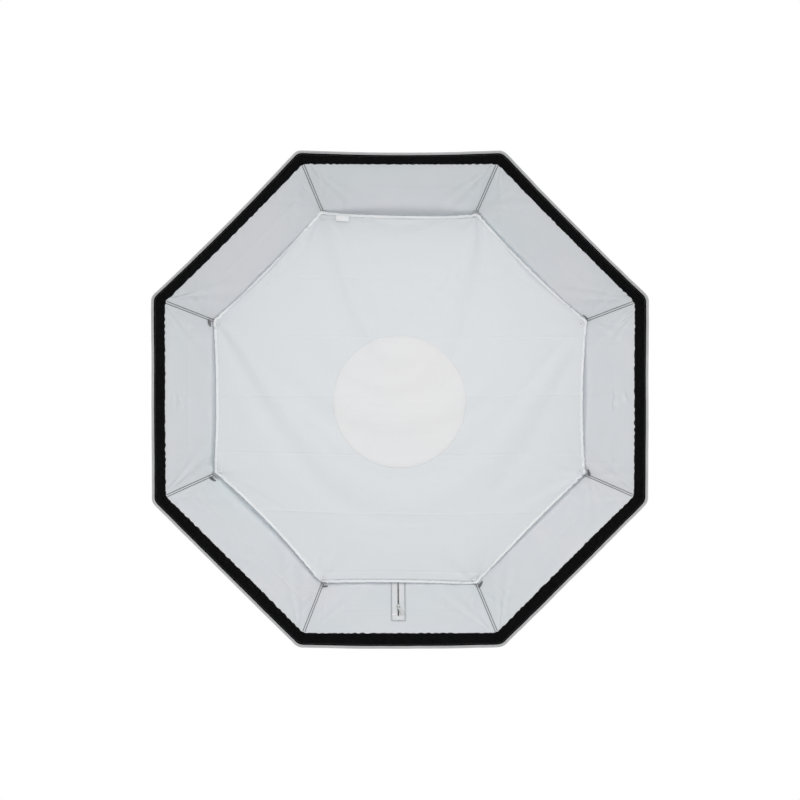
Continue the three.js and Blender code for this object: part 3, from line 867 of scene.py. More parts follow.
def build_rear_hem():
    """The doubled hem of the rear opening, held by two lines of stitching."""
    section = [(0.5555, 0.0001), (0.5650, 0.0003), (0.5745, 0.0001), (0.5768, -0.0010), (0.5750, -0.0032),
               (0.5650, -0.0034), (0.5600, -0.0031), (0.5600, -0.0027), (0.5730, -0.0026), (0.5755, -0.0012),
               (0.5738, -0.0006), (0.5555, -0.0006)]
    s, out = np.array(section).T
    x = rim_columns(24)[:-1, None] * half_width(s)
    rings = [wall(panel, x, s, out, 0.0) for panel in range(SIDES)]
    hem = grid("rear_opening_hem", np.concatenate(rings), NYLON, wrap_rows=True, wrap_columns=True)
    subdivide(hem)
    finish_piece(hem, "box", "black_nylon", "rear_hem")
    runs = [seam_across(panel, s, 0.0005, 1, 30, 0.0) for panel in range(SIDES) for s in (0.5585, 0.5715)]
    sew("rear_hem_stitching", runs, BLACK_THREAD, "box", "black_nylon")


# ------------------------------------------------------------------ inner diffuser
CORNER = BAFFLE / MITRE
FOLDS = tuple(0.005 + k * 0.1185 for k in range(-3, 4))  # heights of the storage folds
SLACK = 0.0016  # how much longer the cloth is than the space it is held across
LIFT_CAP = 0.006  # how far the cloth may stand off its plane
# Where each corner is clipped, (across, up) from its even place, clockwise from the one right of the top.
CORNER_SHIFT = ((0.0027, -0.0064), (0.0019, -0.0014), (-0.0007, 0.0034), (-0.0003, 0.0004),
                (-0.0035, 0.0044), (0.0027, 0.0064), (0.0017, -0.0004), (-0.0035, -0.0009))
# The loops' dark patches also stand for the shade beside the diffuser's corners (painted shade).
LOOP_RISE = (0.0, 0.0012, 0.0052, 0.0050, 0.0026, 0.0052, 0.0054, 0.0)  # how far each loop peeps out
# How far each side of the diffuser is drawn in at its middle, clockwise from the top.
EDGE_DRAW = (0.0037, 0.0009, 0.0072, 0.0045, 0.0036, 0.0088, 0.0046, -0.0003)
STUD_INSET = 0.012  # from the diffuser's corner in to its press stud
SIM_CELLS = 84
SIM_FRAMES = 32


def baffle_half(z):
    """Half the diffuser's width at a height."""
    shoulder = BAFFLE * SLANT
    return np.minimum(BAFFLE, BAFFLE + shoulder - np.abs(z))


def clip_shift(x, z):
    """How a point moves, across and up, because the corners aren't clipped quite evenly."""
    turn = np.arctan2(x, z) / STEP - 0.5
    corner = np.floor(turn).astype(int)
    between = (turn - corner)[..., None]
    shifts = np.array(CORNER_SHIFT)
    edge = shifts[corner % SIDES] * (1 - between) + shifts[(corner + 1) % SIDES] * between
    local = np.abs(between[..., 0] - 0.5) * STEP
    share = np.clip(np.hypot(x, z) * np.cos(local) / BAFFLE, 0, 1)[..., None] ** 1.5
    return edge * share + shifts.mean(axis=0) * (1 - share)


def edge_draw(x, z):
    """How far a point is drawn in where the cloth hangs between two corners."""
    turn = np.arctan2(x, z) / STEP
    side = np.round(turn).astype(int)
    local = (turn - side) * STEP
    reach = np.hypot(x, z) * np.cos(local)
    along = np.clip(np.hypot(x, z) * np.sin(local) / (BAFFLE * SLANT), -1, 1)
    return np.array(EDGE_DRAW)[side % SIDES] * smooth(reach / BAFFLE, 0.45, 1.0) * (1 - along**2)


def flat_baffle(cells):
    """Points of the diffuser's octagon on a square net of cells, before it hangs."""
    z = np.linspace(-BAFFLE, BAFFLE, cells + 1)
    u = np.linspace(-1, 1, cells + 1)
    x = u[None, :] * baffle_half(z)[:, None]
    z = np.broadcast_to(z[:, None], x.shape)
    y = np.full_like(x, BAFFLE_Y)
    return np.stack([x, y, z], axis=-1)


def hang_baffle():
    """The net of points after the cloth has hung from its eight corners."""
    rest = flat_baffle(SIM_CELLS)
    draw = np.random.default_rng(2027)
    x, z = rest[..., 0], rest[..., 2]
    seed = sum(0.0008 * np.sin(draw.uniform(-22, 22) * x + draw.uniform(-22, 22) * z + draw.uniform(0, 6))
               for _ in range(6))
    start = rest.copy()
    start[..., 1] += seed
    cloth = grid("hanging_cloth", start, DIFFUSER)
    corners = [k for k, p in enumerate(rest.reshape(-1, 3)) if np.hypot(p[0], p[2]) > CORNER - 0.004]
    held = cloth.vertex_groups.new(name="held")
    held.add(corners, 1.0, "REPLACE")
    settings = modify(cloth, "CLOTH").settings
    settings.vertex_group_mass = "held"
    settings.quality = 6
    settings.mass = 0.09
    settings.tension_stiffness = settings.compression_stiffness = 30
    settings.shear_stiffness = 12
    settings.bending_stiffness = 0.35
    settings.tension_damping = settings.compression_damping = settings.shear_damping = 15
    settings.air_damping = 3
    settings.shrink_min = -SLACK
    cache = cloth.modifiers[0].point_cache
    cache.frame_start, cache.frame_end = 1, SIM_FRAMES
    for step in range(1, SIM_FRAMES + 1):
        bpy.context.scene.frame_set(step)
    hung = cloth.evaluated_get(bpy.context.evaluated_depsgraph_get()).data
    points = np.empty(len(hung.vertices) * 3)
    hung.vertices.foreach_get("co", points)
    points = points.reshape(rest.shape)
    bpy.data.objects.remove(cloth)
    bpy.context.scene.frame_set(1)
    moved = points - rest
    for axis, cap in enumerate((0.004, LIFT_CAP, 0.004)):
        moved[..., axis] = cap * np.tanh(moved[..., axis] / cap)
    return rest + moved


HUNG = hang_baffle() - flat_baffle(SIM_CELLS)


def catmull_rom(t):
    """The four weights of a smooth curve through evenly spaced values, t of the way from one to the next."""
    return (0.5 * t * (t * (2 - t) - 1), 0.5 * (t * t * (3 * t - 5) + 2),
            0.5 * t * (t * (4 - 3 * t) + 1), 0.5 * t * t * (t - 1))


def hung_offset(x, z):
    """How the hanging cloth has moved at points of its plane."""
    x, z = np.broadcast_arrays(np.asarray(x, float), np.asarray(z, float))
    row = np.clip((z + BAFFLE) / (2 * BAFFLE) * SIM_CELLS, 0, SIM_CELLS)
    column = np.clip((x / baffle_half(z) + 1) / 2 * SIM_CELLS, 0, SIM_CELLS)
    low_row = np.clip(np.floor(row).astype(int), 0, SIM_CELLS - 1)
    total = 0
    weights = catmull_rom(row - low_row)
    for step, weight in zip((-1, 0, 1, 2), weights):
        line = HUNG[np.clip(low_row + step, 0, SIM_CELLS)]
        low = np.clip(np.floor(column).astype(int), 0, SIM_CELLS - 1)
        across = 0
        for shift, share in zip((-1, 0, 1, 2), catmull_rom(column - low)):
            pick = np.clip(low + shift, 0, SIM_CELLS)[..., None, None]
            across = across + share[..., None] * np.take_along_axis(line, pick, axis=-2)[..., 0, :]
        total = total + weight[..., None] * across
    return total


def fold_relief(x, z):
    """Towards the front: the sharp storage folds, and the cloth tilted a little between them."""
    draw = np.random.default_rng(811)
    total = np.zeros_like(x)
    for k, height in enumerate(FOLDS):
        lean, bend = draw.uniform(-0.006, 0.006), draw.uniform(-0.010, 0.010)
        line = height + lean * x + bend * x * x
        sign = 1 if k % 2 else -1
        fade = 0.75 + 0.25 * np.sin(draw.uniform(4, 9) * x + draw.uniform(0, 6))
        total += sign * fade * (0.0006 * bell(z - line, 0.0016) + 0.0010 * bell(z - line, 0.022))
    span = 1 - np.clip(x / (BAFFLE * SLANT), -1, 1) ** 2
    return total + 0.0075 * smooth(z, BAFFLE - 0.095, BAFFLE + 0.02) * span


def corner_pulls(x, z):
    """Short tension creases that run in from each strap."""
    total = np.zeros_like(x)
    for k in range(SIDES):
        draw = np.random.default_rng(613 + k)
        angle = (k + 0.5) * STEP
        inward = CORNER - (x * math.sin(angle) + z * math.cos(angle))
        sideways = x * math.cos(angle) - z * math.sin(angle)
        distance = np.hypot(inward, sideways)
        bearing = np.arctan2(sideways, inward + 1e-9)
        wave = np.sin(draw.uniform(7, 12) * bearing + draw.uniform(0, 6.28))
        total += draw.uniform(0.0007, 0.0014) * wave * (distance / 0.035) * np.exp(1 - distance / 0.035) * 0.8
    return total


def baffle_at(x, z, front=0.0):
    """Points on the hung diffuser over (x, z), a distance in front of it."""
    x, z = np.broadcast_arrays(np.asarray(x, float), np.asarray(z, float))
    offset = hung_offset(x, z)
    clipped = clip_shift(x, z)
    drawn = 1 - edge_draw(x, z) / BAFFLE
    relief = fold_relief(x, z) + corner_pulls(x, z)
    return np.stack([
        x * drawn + offset[..., 0] + clipped[..., 0],
        BAFFLE_Y + offset[..., 1] - relief - front,
        z * drawn + offset[..., 2] + clipped[..., 1],
    ], axis=-1)


def build_diffuser():
    even = np.linspace(-BAFFLE, BAFFLE, 170)
    close = [height + step for height in FOLDS
             for step in (-0.003, -0.0018, -0.0009, 0, 0.0009, 0.0018, 0.003)]
    shoulders = [-BAFFLE * SLANT, BAFFLE * SLANT]
    z = np.unique(np.round(np.concatenate([even, close, shoulders]), 5))
    z = z[(z >= -BAFFLE) & (z <= BAFFLE)]
    u = np.linspace(-1, 1, 171)
    x = u[None, :] * baffle_half(z)[:, None]
    z = np.broadcast_to(z[:, None], x.shape)
    cloth = grid("diffuser_cloth", baffle_at(x, z), DIFFUSER, np.stack([x, z], axis=-1))
    thicken(cloth, 0.00035)
    hem = build_diffuser_hem()
    patch = build_centre_patch()
    finish_piece(cloth, "diffuser", "diffuser_cloth", "inner_diffuser")


def hem_run(inset, front, count):
    """A closed run round the diffuser at a distance in from its edge."""
    t = np.concatenate([np.linspace(-1, 1, count)[:-1] for _ in range(SIDES)])
    side = np.repeat(np.arange(SIDES), count - 1)
    reach = BAFFLE - inset
    flat = np.stack([t * reach * SLANT, np.zeros_like(t), np.full_like(t, reach)], axis=-1)
    angles = side * STEP
    c, s = np.cos(angles), np.sin(angles)
    x = flat[:, 0] * c + flat[:, 2] * s
    z = flat[:, 2] * c - flat[:, 0] * s
    return baffle_at(x, z, front), np.stack([x, z], axis=-1)


def build_diffuser_hem():
    """White tape folded over the diffuser's edge and sewn, so it waves a little."""
    draw = np.random.default_rng(503)
    section = [(0.0050, 0.0003), (0.0048, 0.0005), (0.0036, 0.0008), (0.0019, 0.0013), (0.0004, 0.0011),
               (-0.0005, 0.0002), (-0.0006, -0.0005), (0.0002, -0.0010), (0.0024, -0.0011),
               (0.0047, -0.0008), (0.0047, -0.0004), (0.0010, -0.0004), (0.0004, 0.0), (0.0014, 0.0005),
               (0.0043, 0.0004)]
    count = 84
    points = np.stack([hem_run(inset, front, count)[0] for inset, front in section], axis=1)
    flat = hem_run(*section[-1], count)[1]
    travelled = travel(points[:, 0])
    ripple = np.zeros(len(travelled))
    for _ in range(9):
        waves = round(draw.uniform(70, 260))
        ripple += draw.uniform(0.3, 1.0) * np.sin(2 * math.pi * waves * travelled / travelled[-1]
                                                  + draw.uniform(0, 6.28))
    corner = np.abs(((np.arange(len(travelled)) / (count - 1)) + 0.5) % 1 - 0.5)
    gathered = 0.00022 + 0.00055 * bell(corner, 0.12)
    points[..., 1] -= (gathered * ripple)[:, None]
    outward = unit(np.stack([flat[:, 0], np.zeros(len(flat)), flat[:, 1]], axis=-1))
    points += (gathered * 0.8 * np.roll(ripple, 7))[:, None, None] * outward[:, None]
    uv = cloth_map(travelled, np.linspace(0, 0.016, len(section)))
    hem = grid("diffuser_edge_tape", points, WHITE_TAPE, uv, wrap_rows=True, wrap_columns=True)
    subdivide(hem)
    finish_piece(hem, "diffuser", "white_tape", "diffuser_hem")
    sew("diffuser_edge_stitching", [(hem_run(0.0040, 0.0010, count)[0], FORWARD)], BRIGHT_THREAD,
        "diffuser", "white_tape")
    return hem


PATCH_AT = (-0.0005, -0.0058)  # the patch isn't sewn quite in the middle
PATCH_SEAM = 0.003  # from its edge in to its stitching


def build_centre_patch():
    """The second layer of cloth over the middle, cut round and sewn at its edge."""
    size = PATCH + 0.0034
    rings = np.concatenate([np.linspace(0.004, size - 0.006, 26),
                            size - np.array([0.0042, 0.003, 0.0018, 0.0006, 0])])
    around = turns(180)
    x, z = PATCH_AT[0] + rings[:, None] * np.sin(around), PATCH_AT[1] + rings[:, None] * np.cos(around)
    pillow = 0.0008 * (1 - (rings / size) ** 2)
    seam = -0.0003 * bell(rings - (size - PATCH_SEAM), 0.0009)
    edge = -0.0003 * smooth(rings, size - 0.0012, size)
    lift = 0.0007 + pillow + seam + edge
    points = baffle_at(x, z, lift[:, None])
    middle = baffle_at(*PATCH_AT, lift[0] + 0.00001)
    faces = [face[::-1] for face in grid_faces(len(rings), len(around), wrap_columns=True)]
    hub = points.reshape(-1, 3).shape[0]
    faces += [(hub, (j + 1) % len(around), j) for j in range(len(around))]
    vertices = np.concatenate([points.reshape(-1, 3), middle.reshape(1, 3)])
    uv = np.concatenate([np.stack([x, z], axis=-1).reshape(-1, 2), [[0, 0]]])
    patch = add_mesh("round_centre_patch", vertices, faces, PATCH_CLOTH, uv=uv)
    thicken(patch, 0.00035)
    finish_piece(patch, "diffuser", "diffuser_cloth", "centre_patch")
    ring = np.linspace(0, 2 * math.pi, 400)
    seam_run = baffle_at(PATCH_AT[0] + (size - PATCH_SEAM) * np.sin(ring),
                         PATCH_AT[1] + (size - PATCH_SEAM) * np.cos(ring), 0.0011)
    sew("patch_stitching", [(seam_run, FORWARD)], BRIGHT_THREAD, "diffuser", "white_tape", radius=0.00022)
    return patch


def build_label():
    """A blank sewn-in label that hangs from the diffuser's hem, standing further off the cloth towards its
    end.
    """
    low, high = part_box("blank_label")
    width, height = high[0] - low[0], high[2] - low[2]
    # The photo has it a little further right than the CAD.
    middle, top = (low[0] + high[0]) / 2 + 0.0035, high[2] - 0.0008
    height += 0.0016
    t = np.linspace(0, 1, 14)
    u = np.linspace(0, 1, 22)
    front = 0.0019 + 0.0016 * t[:, None] ** 1.5 + 0.0005 * np.sin(4 * u) * t[:, None]
    x, z = np.broadcast_arrays(middle + (u - 0.5) * width, top - t[:, None] * height)
    points = baffle_at(x, z, front)
    label = grid("blank_sewn_label", points, WHITE_TAPE, np.stack([x, z], axis=-1))
    thicken(label, 0.0004)
    finish_piece(label, "diffuser", "white_tape", "blank_label")
    ends = np.linspace(-0.5, 0.5, 20)
    run = baffle_at(middle + ends * width, np.full(20, top - 0.0015), 0.0022)
    sew("label_stitching", [(run, FORWARD)], PALE_THREAD, "diffuser", "white_tape",
        pitch=0.002, length=0.0014, radius=0.0002)


def build_straps():
    """Webbing tabs sewn into the ribs, and the press studs' caps."""
    low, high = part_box("corner_strap_1")
    strap_y, thick = (low[1] + high[1]) / 2, high[1] - low[1]
    for k in range(SIDES):
        draw = np.random.default_rng(701 + k)
        reach = np.linspace(CORNER - 0.026, CORNER - 0.0015, 12)
        across = np.linspace(-0.007, 0.007, 7)
        wave = 0.0004 * np.sin(reach * 300 + draw.uniform(0, 6))
        points = np.stack(np.broadcast_arrays(
            across[None, :], (strap_y + wave)[:, None], reach[:, None]), axis=-1)
        uv = points[..., [2, 0]].copy()
        points = at_rib(points, k)
        behind_cloth = cloth_y(points[..., 0], points[..., 2]) + 0.0006 + thick / 2
        points[..., 1] = np.maximum(points[..., 1], behind_cloth)
        strap = grid(f"webbing_tab_{k + 1}", points, WEBBING, uv)
        thicken(strap, thick * 0.8)
        finish_piece(strap, "box", "grey_webbing", f"corner_strap_{k + 1}")
        if LOOP_RISE[k]:
            build_corner_loop_and_shade(k)
        build_press_stud(k)


def cloth_y(x, z):
    """The y of the hung diffuser's rear face behind the points (x, z)."""
    moved = clip_shift(x, z)
    return baffle_at(x - moved[..., 0], z - moved[..., 1])[..., 1]


def build_corner_loop_and_shade(k):
    """A dark loop of elastic sewn in beside the rib, that peeps out past the diffuser's corner. Its dark
    colour also paints the shade in the gap beside the corner: painted shade.
    """
    draw = np.random.default_rng(733 + k)
    rise = LOOP_RISE[k]
    at_baffle = (math.asin((BAFFLE_Y - ARC_Y) / ARC_RADIUS) - RIM_SLOPE) * ARC_RADIUS
    t, width = np.linspace(0, 1, 16)[:, None], np.linspace(-1, 1, 7)[None, :]
    length = draw.uniform(0.010, 0.013)
    bow = np.sin(math.pi * (0.25 + 0.7 * t)) ** 0.7
    s = at_baffle + 0.002 - rise * bow * (0.85 - 0.75 * width)
    distance = 0.0016 + length * t + 0.0008 * width * (1 - t)
    off = LINING_LEVEL - 0.0012 - 0.0013 * (1 - width**2) * (0.4 + 0.6 * bow)
    points = beside_mitre(k, 1, *np.broadcast_arrays(distance, s, off))
    uv = cloth_map(length * t[:, 0], 0.004 * width[0])
    loop = grid(f"elastic_loop_and_painted_shade_{k + 1}", points, DARK_LOOP_AND_SHADE, uv)
    thicken(loop, 0.0008)
    finish_piece(loop, "box", "grey_webbing")


def build_press_stud(k):
    """A ring-topped press stud through the diffuser's corner."""
    reach = CORNER - STUD_INSET
    spot = baffle_at(reach * math.sin((k + 0.5) * STEP), reach * math.cos((k + 0.5) * STEP))
    profile = [(0.0012, -0.0009), (0.0018, -0.0011), (0.0026, -0.0022), (0.0035, -0.0024), (0.0042, -0.0020),
               (0.0044, -0.0013), (0.0042, -0.0008), (0.0020, -0.0005)]
    points, faces = revolve(profile, 32)
    cap = join(f"press_stud_{k + 1}", [(points + spot, faces)], ENAMEL)
    finish_piece(cap, "diffuser", "zinc_hardware")


# ------------------------------------------------------------------ access zip
SLIDER_S = 0.122  # where the slider stands, from the rim
TAPE_MID = -0.0017
COIL_START = 0.0945
BOX_HALF = 0.0129  # half the width of the stitched box round the zip
TAB_HALF = 0.0042


def zip_wall(x, s, out):
    """Points beside the zip: x to the right of its middle as seen from the front."""
    return wall(BOTTOM, -(np.asarray(x, float) + ZIP_X), s, out, 0.0)


def at_slider(points):
    """Moves points from the slider's own axes, where y is to the rear and z out of the wall."""
    points = np.asarray(points, float)
    a, y, slope = arc(SLIDER_S, TAPE_MID)
    c, s = math.cos(slope), math.sin(slope)
    placed = np.stack([
        -points[..., 0] - ZIP_X,
        y + points[..., 1] * c + points[..., 2] * s,
        a - points[..., 1] * s + points[..., 2] * c,
    ], axis=-1)
    return turn_y(placed, math.pi)


def build_zip():
    """Two tapes with rolled inner edges and their black backing, and everything that goes with them."""
    s = np.linspace(ZIP_START + 0.0003, ZIP_END - 0.0003, 110)
    section = [(0.0016, -0.0021), (0.0016, -0.0030), (0.0022, -0.0034), (0.0030, -0.0030), (0.0046, -0.0025),
               (0.0108, -0.0026), (0.0122, -0.0029), (0.0134, -0.0029), (0.0138, -0.0027), (0.0134, -0.0026),
               (0.0120, -0.0025), (0.0104, -0.0022), (0.0040, -0.0020), (0.0024, -0.0019), (0.0017, -0.0019)]
    backing = [(0.0016, -0.0017), (0.0022, -0.0018), (0.0104, -0.0018), (0.0138, -0.0017), (0.0138, -0.0015),
               (0.0104, -0.0016), (0.0022, -0.0015), (0.0017, -0.0014)]
    for side, word in ((-1, "left"), (1, "right")):
        draw = np.random.default_rng(311 + side)
        wave = 0.00012 * np.sin(s * 210 + draw.uniform(0, 6)) + 0.00008 * np.sin(s * 517 + draw.uniform(0, 6))
        # The tapes meet where there is no coil between them.
        closed = 0.0009 * (1 - smooth(s, COIL_START - 0.001, COIL_START + 0.001))

        def strip(kind, outline, rise, material):
            points = np.stack([zip_wall(side * (x + wave - closed * (x < 0.0025)), s, out + rise * wave)
                               for x, out in outline], axis=1)
            uv = cloth_map(s, np.linspace(0, 0.03, len(outline)))
            return grid(f"zip_tape_{kind}_{word}", points, material, uv, side > 0, wrap_columns=True)

        finish_piece(strip("strip", section, 0.6, ZIP_TAPE), "box", "white_tape", f"zip_tape_{word}")
        finish_piece(strip("backing", backing, 0.0, NYLON), "box", "black_nylon")
    build_coil_and_groove_shade()
    build_zip_sewing()
    build_slider()
    build_pull()


def build_coil_and_groove_shade():
    """Two interlocked coils, sewn under the tapes' inner edges. They are black, partly as painted shade in
    the groove between the tapes.
    """
    pitch, wire, points_a_turn = 0.0015, 0.00028, 10
    count = (ZIP_END - 0.001 - COIL_START) / pitch
    t = np.arange(int(count * points_a_turn)) / points_a_turn * 2 * math.pi
    parts = []
    for side in (-1, 1):
        s = COIL_START + t / (2 * math.pi) * pitch + (0.0 if side < 0 else pitch / 2)
        spine = zip_wall(side * (0.0006 + 0.0011 * np.cos(t)), s, TAPE_MID + 0.00055 * np.sin(t))
        parts.append(tube(spine, wire, 6, wall_normal(BOTTOM, s)))
    finish_piece(join("zip_coil_and_groove_shade", parts, COIL_AND_GROOVE_SHADE), "box", "black_nylon")


def build_zip_sewing():
    """The stitched box round the zip, the cloth tab over its end and the bar tack beside it."""
    first_s = ZIP_START + 0.0015
    side_s = np.linspace(first_s, ZIP_END - 0.002, 80)
    end_x = np.linspace(-BOX_HALF, BOX_HALF, 16)
    level = -0.0031
    normal = wall_normal(BOTTOM, side_s)
    runs = [(zip_wall(side * BOX_HALF, side_s, level), -normal) for side in (-1, 1)]
    runs.append((zip_wall(end_x, np.full(16, first_s), level), -wall_normal(BOTTOM, side_s[:16])))
    sew("zip_stitching", runs, DARK_THREAD_AND_SEAM_SHADE, "box", "silver_lining", pitch=0.003, length=0.0026)
    tab_s = np.linspace(ZIP_START + 0.0004, 0.0860, 8)
    tab_x = np.linspace(-TAB_HALF, TAB_HALF, 9)
    puff = 0.0004 * np.cos(tab_x / TAB_HALF * 1.4)
    points = np.stack([zip_wall(tab_x, np.full(9, s), LINING_LEVEL - 0.0005 - puff) for s in tab_s])
    uv = cloth_map(tab_s, tab_x)
    tab = grid("zip_end_tab", points, ZIP_TAPE, uv)
    thicken(tab, 0.0005)
    finish_piece(tab, "box", "white_tape")
    points = np.stack([zip_wall(tab_x, np.full(9, s), -0.0014) for s in tab_s])
    cover = grid("zip_end_cover", points, NYLON, uv)
    thicken(cover, 0.0003)
    finish_piece(cover, "box", "black_nylon")
    t = np.linspace(0, 1, 12)
    bar = zip_wall(-0.0130 + 0.0080 * t, 0.0965 + 0.0026 * t, -0.0038 - 0.0003 * np.sin(9 * t))
    finish_piece(join("zip_bar_tack", [tube(bar, 0.0016, 10)], BRIGHT_THREAD), "box", "white_tape")


def rounded_square(angles, power):
    """x and y round a square from -1 to 1. The lower the power, the rounder its corners."""
    cos, sin = np.cos(angles), np.sin(angles)
    reach = (np.abs(cos) ** power + np.abs(sin) ** power) ** (-1 / power)
    return cos * reach, sin * reach


def shield(width, length, taper=0.72):
    """The slider plate's outline: wide at the front, drawn in to the rear."""
    x, y = rounded_square(turns(40), 3.5)
    return x * width / 2 * (1 - (1 - taper) * (y + 1) / 2), y * length / 2


def plate(x, y, low, high, soft):
    """Vertices and faces of an extruded outline with rounded upper and lower edges."""
    rings = []
    for inset, z in ((soft, low), (soft * 0.3, low + soft * 0.3), (0, low + soft), (0, high - soft),
                     (soft * 0.3, high - soft * 0.3), (soft, high)):
        size = np.hypot(x, y)
        shrink = (size - inset) / size
        rings.append(np.stack([x * shrink, y * shrink, np.full_like(x, z)], axis=-1))
    count = len(x)
    faces = grid_faces(len(rings), count, wrap_columns=True) + end_faces(len(rings), count)
    return np.concatenate(rings), [face[::-1] for face in faces]


def build_slider():
    """Two flared plates joined by a neck, with an arched crown that holds the pull."""
    x, y = shield(0.009, 0.013)
    parts = []
    for low, high in ((-0.00225, -0.00085), (0.00085, 0.00225)):
        parts.append(plate(x, y, low, high, 0.0004))
    neck_x, neck_y = shield(0.0013, 0.007, 0.9)
    parts.append(plate(neck_x, neck_y + 0.003, -0.0010, 0.0010, 0.0001))
    angle = np.linspace(0, math.pi, 26)
    spine = np.stack([np.zeros_like(angle), 0.0039 * np.cos(angle),
                      -0.0020 - 0.0030 * np.sin(angle) ** 0.7], axis=-1)
    tangent = unit(np.gradient(spine, axis=0))
    first = np.broadcast_to(0.0008 * ACROSS, spine.shape)
    crown = spine[:, None] + spokes(turns(12), first, 0.00055 * np.cross(ACROSS, tangent))
    faces = grid_faces(len(spine), 12, wrap_columns=True) + end_faces(len(spine), 12)
    parts.append((crown.reshape(-1, 3), faces))
    slider = join("zip_slider_body", [(at_slider(points), polygons) for points, polygons in parts], ZINC)
    finish_piece(slider, "slider", "zinc_hardware", "zip_slider")


def build_pull():
    """A stamped tab that hangs a little askew from the crown, with a window and a raised rim."""
    length, width, window = 0.0275, 0.0072, 0.0026
    hang, skew = -0.0033, math.radians(-20)
    outer = tab_outline(-length / 2 + 0.0008, width / 2, length / 2)
    inner = tab_outline(-0.0032, window / 2, 0.0024)
    # From the window's edge to the outer one: the share of the way, and half the thickness there.
    section = [(0.0, 0.0005), (0.06, 0.0008), (0.86, 0.0006), (0.95, 0.0009), (1.0, 0.0004)]
    c, s = math.cos(skew), math.sin(skew)
    rings = []
    for share, z in [(share, -z) for share, z in section] + section[::-1]:
        x, y = (inner + (outer - inner) * share).T
        rings.append(np.stack([x * c + y * s, y * c - x * s, np.full_like(x, z + hang)], axis=-1))
    faces = grid_faces(len(rings), len(inner), wrap_rows=True, wrap_columns=True)
    pull = add_mesh("zip_pull_tab", at_slider(np.concatenate(rings)), faces, PULL)
    finish_piece(pull, "pull_tab", "zinc_hardware", "zip_pull")


def tab_outline(y, half_wide, half_long):
    """Points round a rectangle with round corners, centred at y."""
    u, v = rounded_square(turns(40) + math.pi / 40, 5.0)
    return np.stack([half_wide * u, y + half_long * v], axis=-1)


# ------------------------------------------------------------------ speed ring, insert and lock
def rounded(profile, radius, steps=4):
    """A closed profile with each corner rounded."""
    profile = np.asarray(profile, float)
    points = []
    for before, corner, after in zip(np.roll(profile, 1, axis=0), profile, np.roll(profile, -1, axis=0)):
        start = corner + unit(before - corner) * min(radius, 0.45 * np.linalg.norm(before - corner))
        end = corner + unit(after - corner) * min(radius, 0.45 * np.linalg.norm(after - corner))
        for t in np.linspace(0, 1, steps + 1):
            points.append((1 - t) ** 2 * start + 2 * t * (1 - t) * corner + t * t * end)
    return np.array(points)


def ring_section(inner, outer, start, end, radius, steps=4):
    """The rounded section of a plain ring, as (radius, along) points."""
    return rounded([(inner, start), (outer, start), (outer, end), (inner, end)], radius, steps)


def lathe(profile, origin, direction, segments=48):
    """Vertices and faces of a closed (radius, along) profile turned about a line from origin."""
    points, faces = revolve(profile, segments)
    axis = unit(np.asarray(direction, float))
    first = unit(np.cross(axis, (0.0, 0.0, 1.0)))
    second = np.cross(axis, first)
    placed = points[:, :1] * first + points[:, 1:2] * axis + points[:, 2:] * second
    return placed + np.asarray(origin, float), faces


INSERT_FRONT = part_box("bayonet_insert")[0][1]
RING_FRONT, RING_REAR = -0.034, -0.012
RING_BORE, RING_BAND, RING_FLANGE = 0.0586, 0.078, 0.086
SOCKET_START, SOCKET_LENGTH = 0.577, 0.028
KNOB_Y = -0.0185


def build_speed_ring():
    body = rounded([(RING_BORE, RING_FRONT), (RING_FLANGE, RING_FRONT), (RING_FLANGE, RING_FRONT + 0.003),
                    (RING_BAND, RING_FRONT + 0.003), (RING_BAND, RING_REAR), (RING_BORE, RING_REAR)], 0.0009)
    parts = [revolve(body, 160)]
    start, _ = rib_line(np.array([SOCKET_START]), ROD_LIFT)
    towards, _ = rib_line(np.array([SOCKET_START + SOCKET_LENGTH]), ROD_LIFT)
    direction = unit(towards[0] - start[0])
    socket = ring_section(0.0031, 0.0065, 0.0, SOCKET_LENGTH, 0.0007, 3)
    for rib in range(SIDES):
        points, faces = lathe(socket, start[0], direction, 40)
        points[:, 1] = np.minimum(points[:, 1], RING_REAR)
        parts.append((at_rib(points, rib), faces))
    boss = ring_section(0.0034, 0.0063, 0.0, 0.0115, 0.0007, 3)
    parts.append(lathe(boss, (0.0765, KNOB_Y, 0), ACROSS, 40))
    ring = join("cast_speed_ring", parts, COATED)
    finish_piece(ring, "box", "black_alloy", "speed_ring")


def lug(middle):
    """Vertices and faces of one bayonet lug, an arc of a ring with softened edges."""
    angles = np.radians(np.linspace(middle - 20, middle + 20, 17))
    section = ring_section(0.0650, 0.0720, -0.0030, 0.0, 0.0006, 3)
    count = len(section)
    rings = []
    for k, angle in enumerate(angles):
        r = section[:, 0].copy()
        if k in (0, len(angles) - 1):
            r = np.minimum(r, 0.0714)
        rings.append(np.stack([r * math.sin(angle), section[:, 1], r * math.cos(angle)], axis=-1))
    faces = grid_faces(len(angles), count, wrap_columns=True)
    return np.concatenate(rings), faces + [face[::-1] for face in end_faces(len(angles), count)]


def build_insert():
    body = rounded([(0.049, INSERT_FRONT), (0.058, INSERT_FRONT), (0.058, -0.0117), (0.076, -0.0117),
                    (0.076, -0.007), (0.066, -0.007), (0.066, 0.0), (0.049, 0.0)], 0.0007)
    parts = [revolve(body, 160)] + [lug(middle) for middle in (0, 120, 240)]
    insert = join("lugged_bayonet_insert", parts, BRIGHT)
    finish_piece(insert, "insert", "bright_alloy", "bayonet_insert")
    low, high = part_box("retainer_ring")
    retainer = revolve(ring_section(0.0493, high[0], low[1], high[1], 0.0006), 128)
    finish_piece(join("turned_retainer", [retainer], BRIGHT), "insert", "bright_alloy", "retainer_ring")
    for k in range(3):
        build_screw(k)


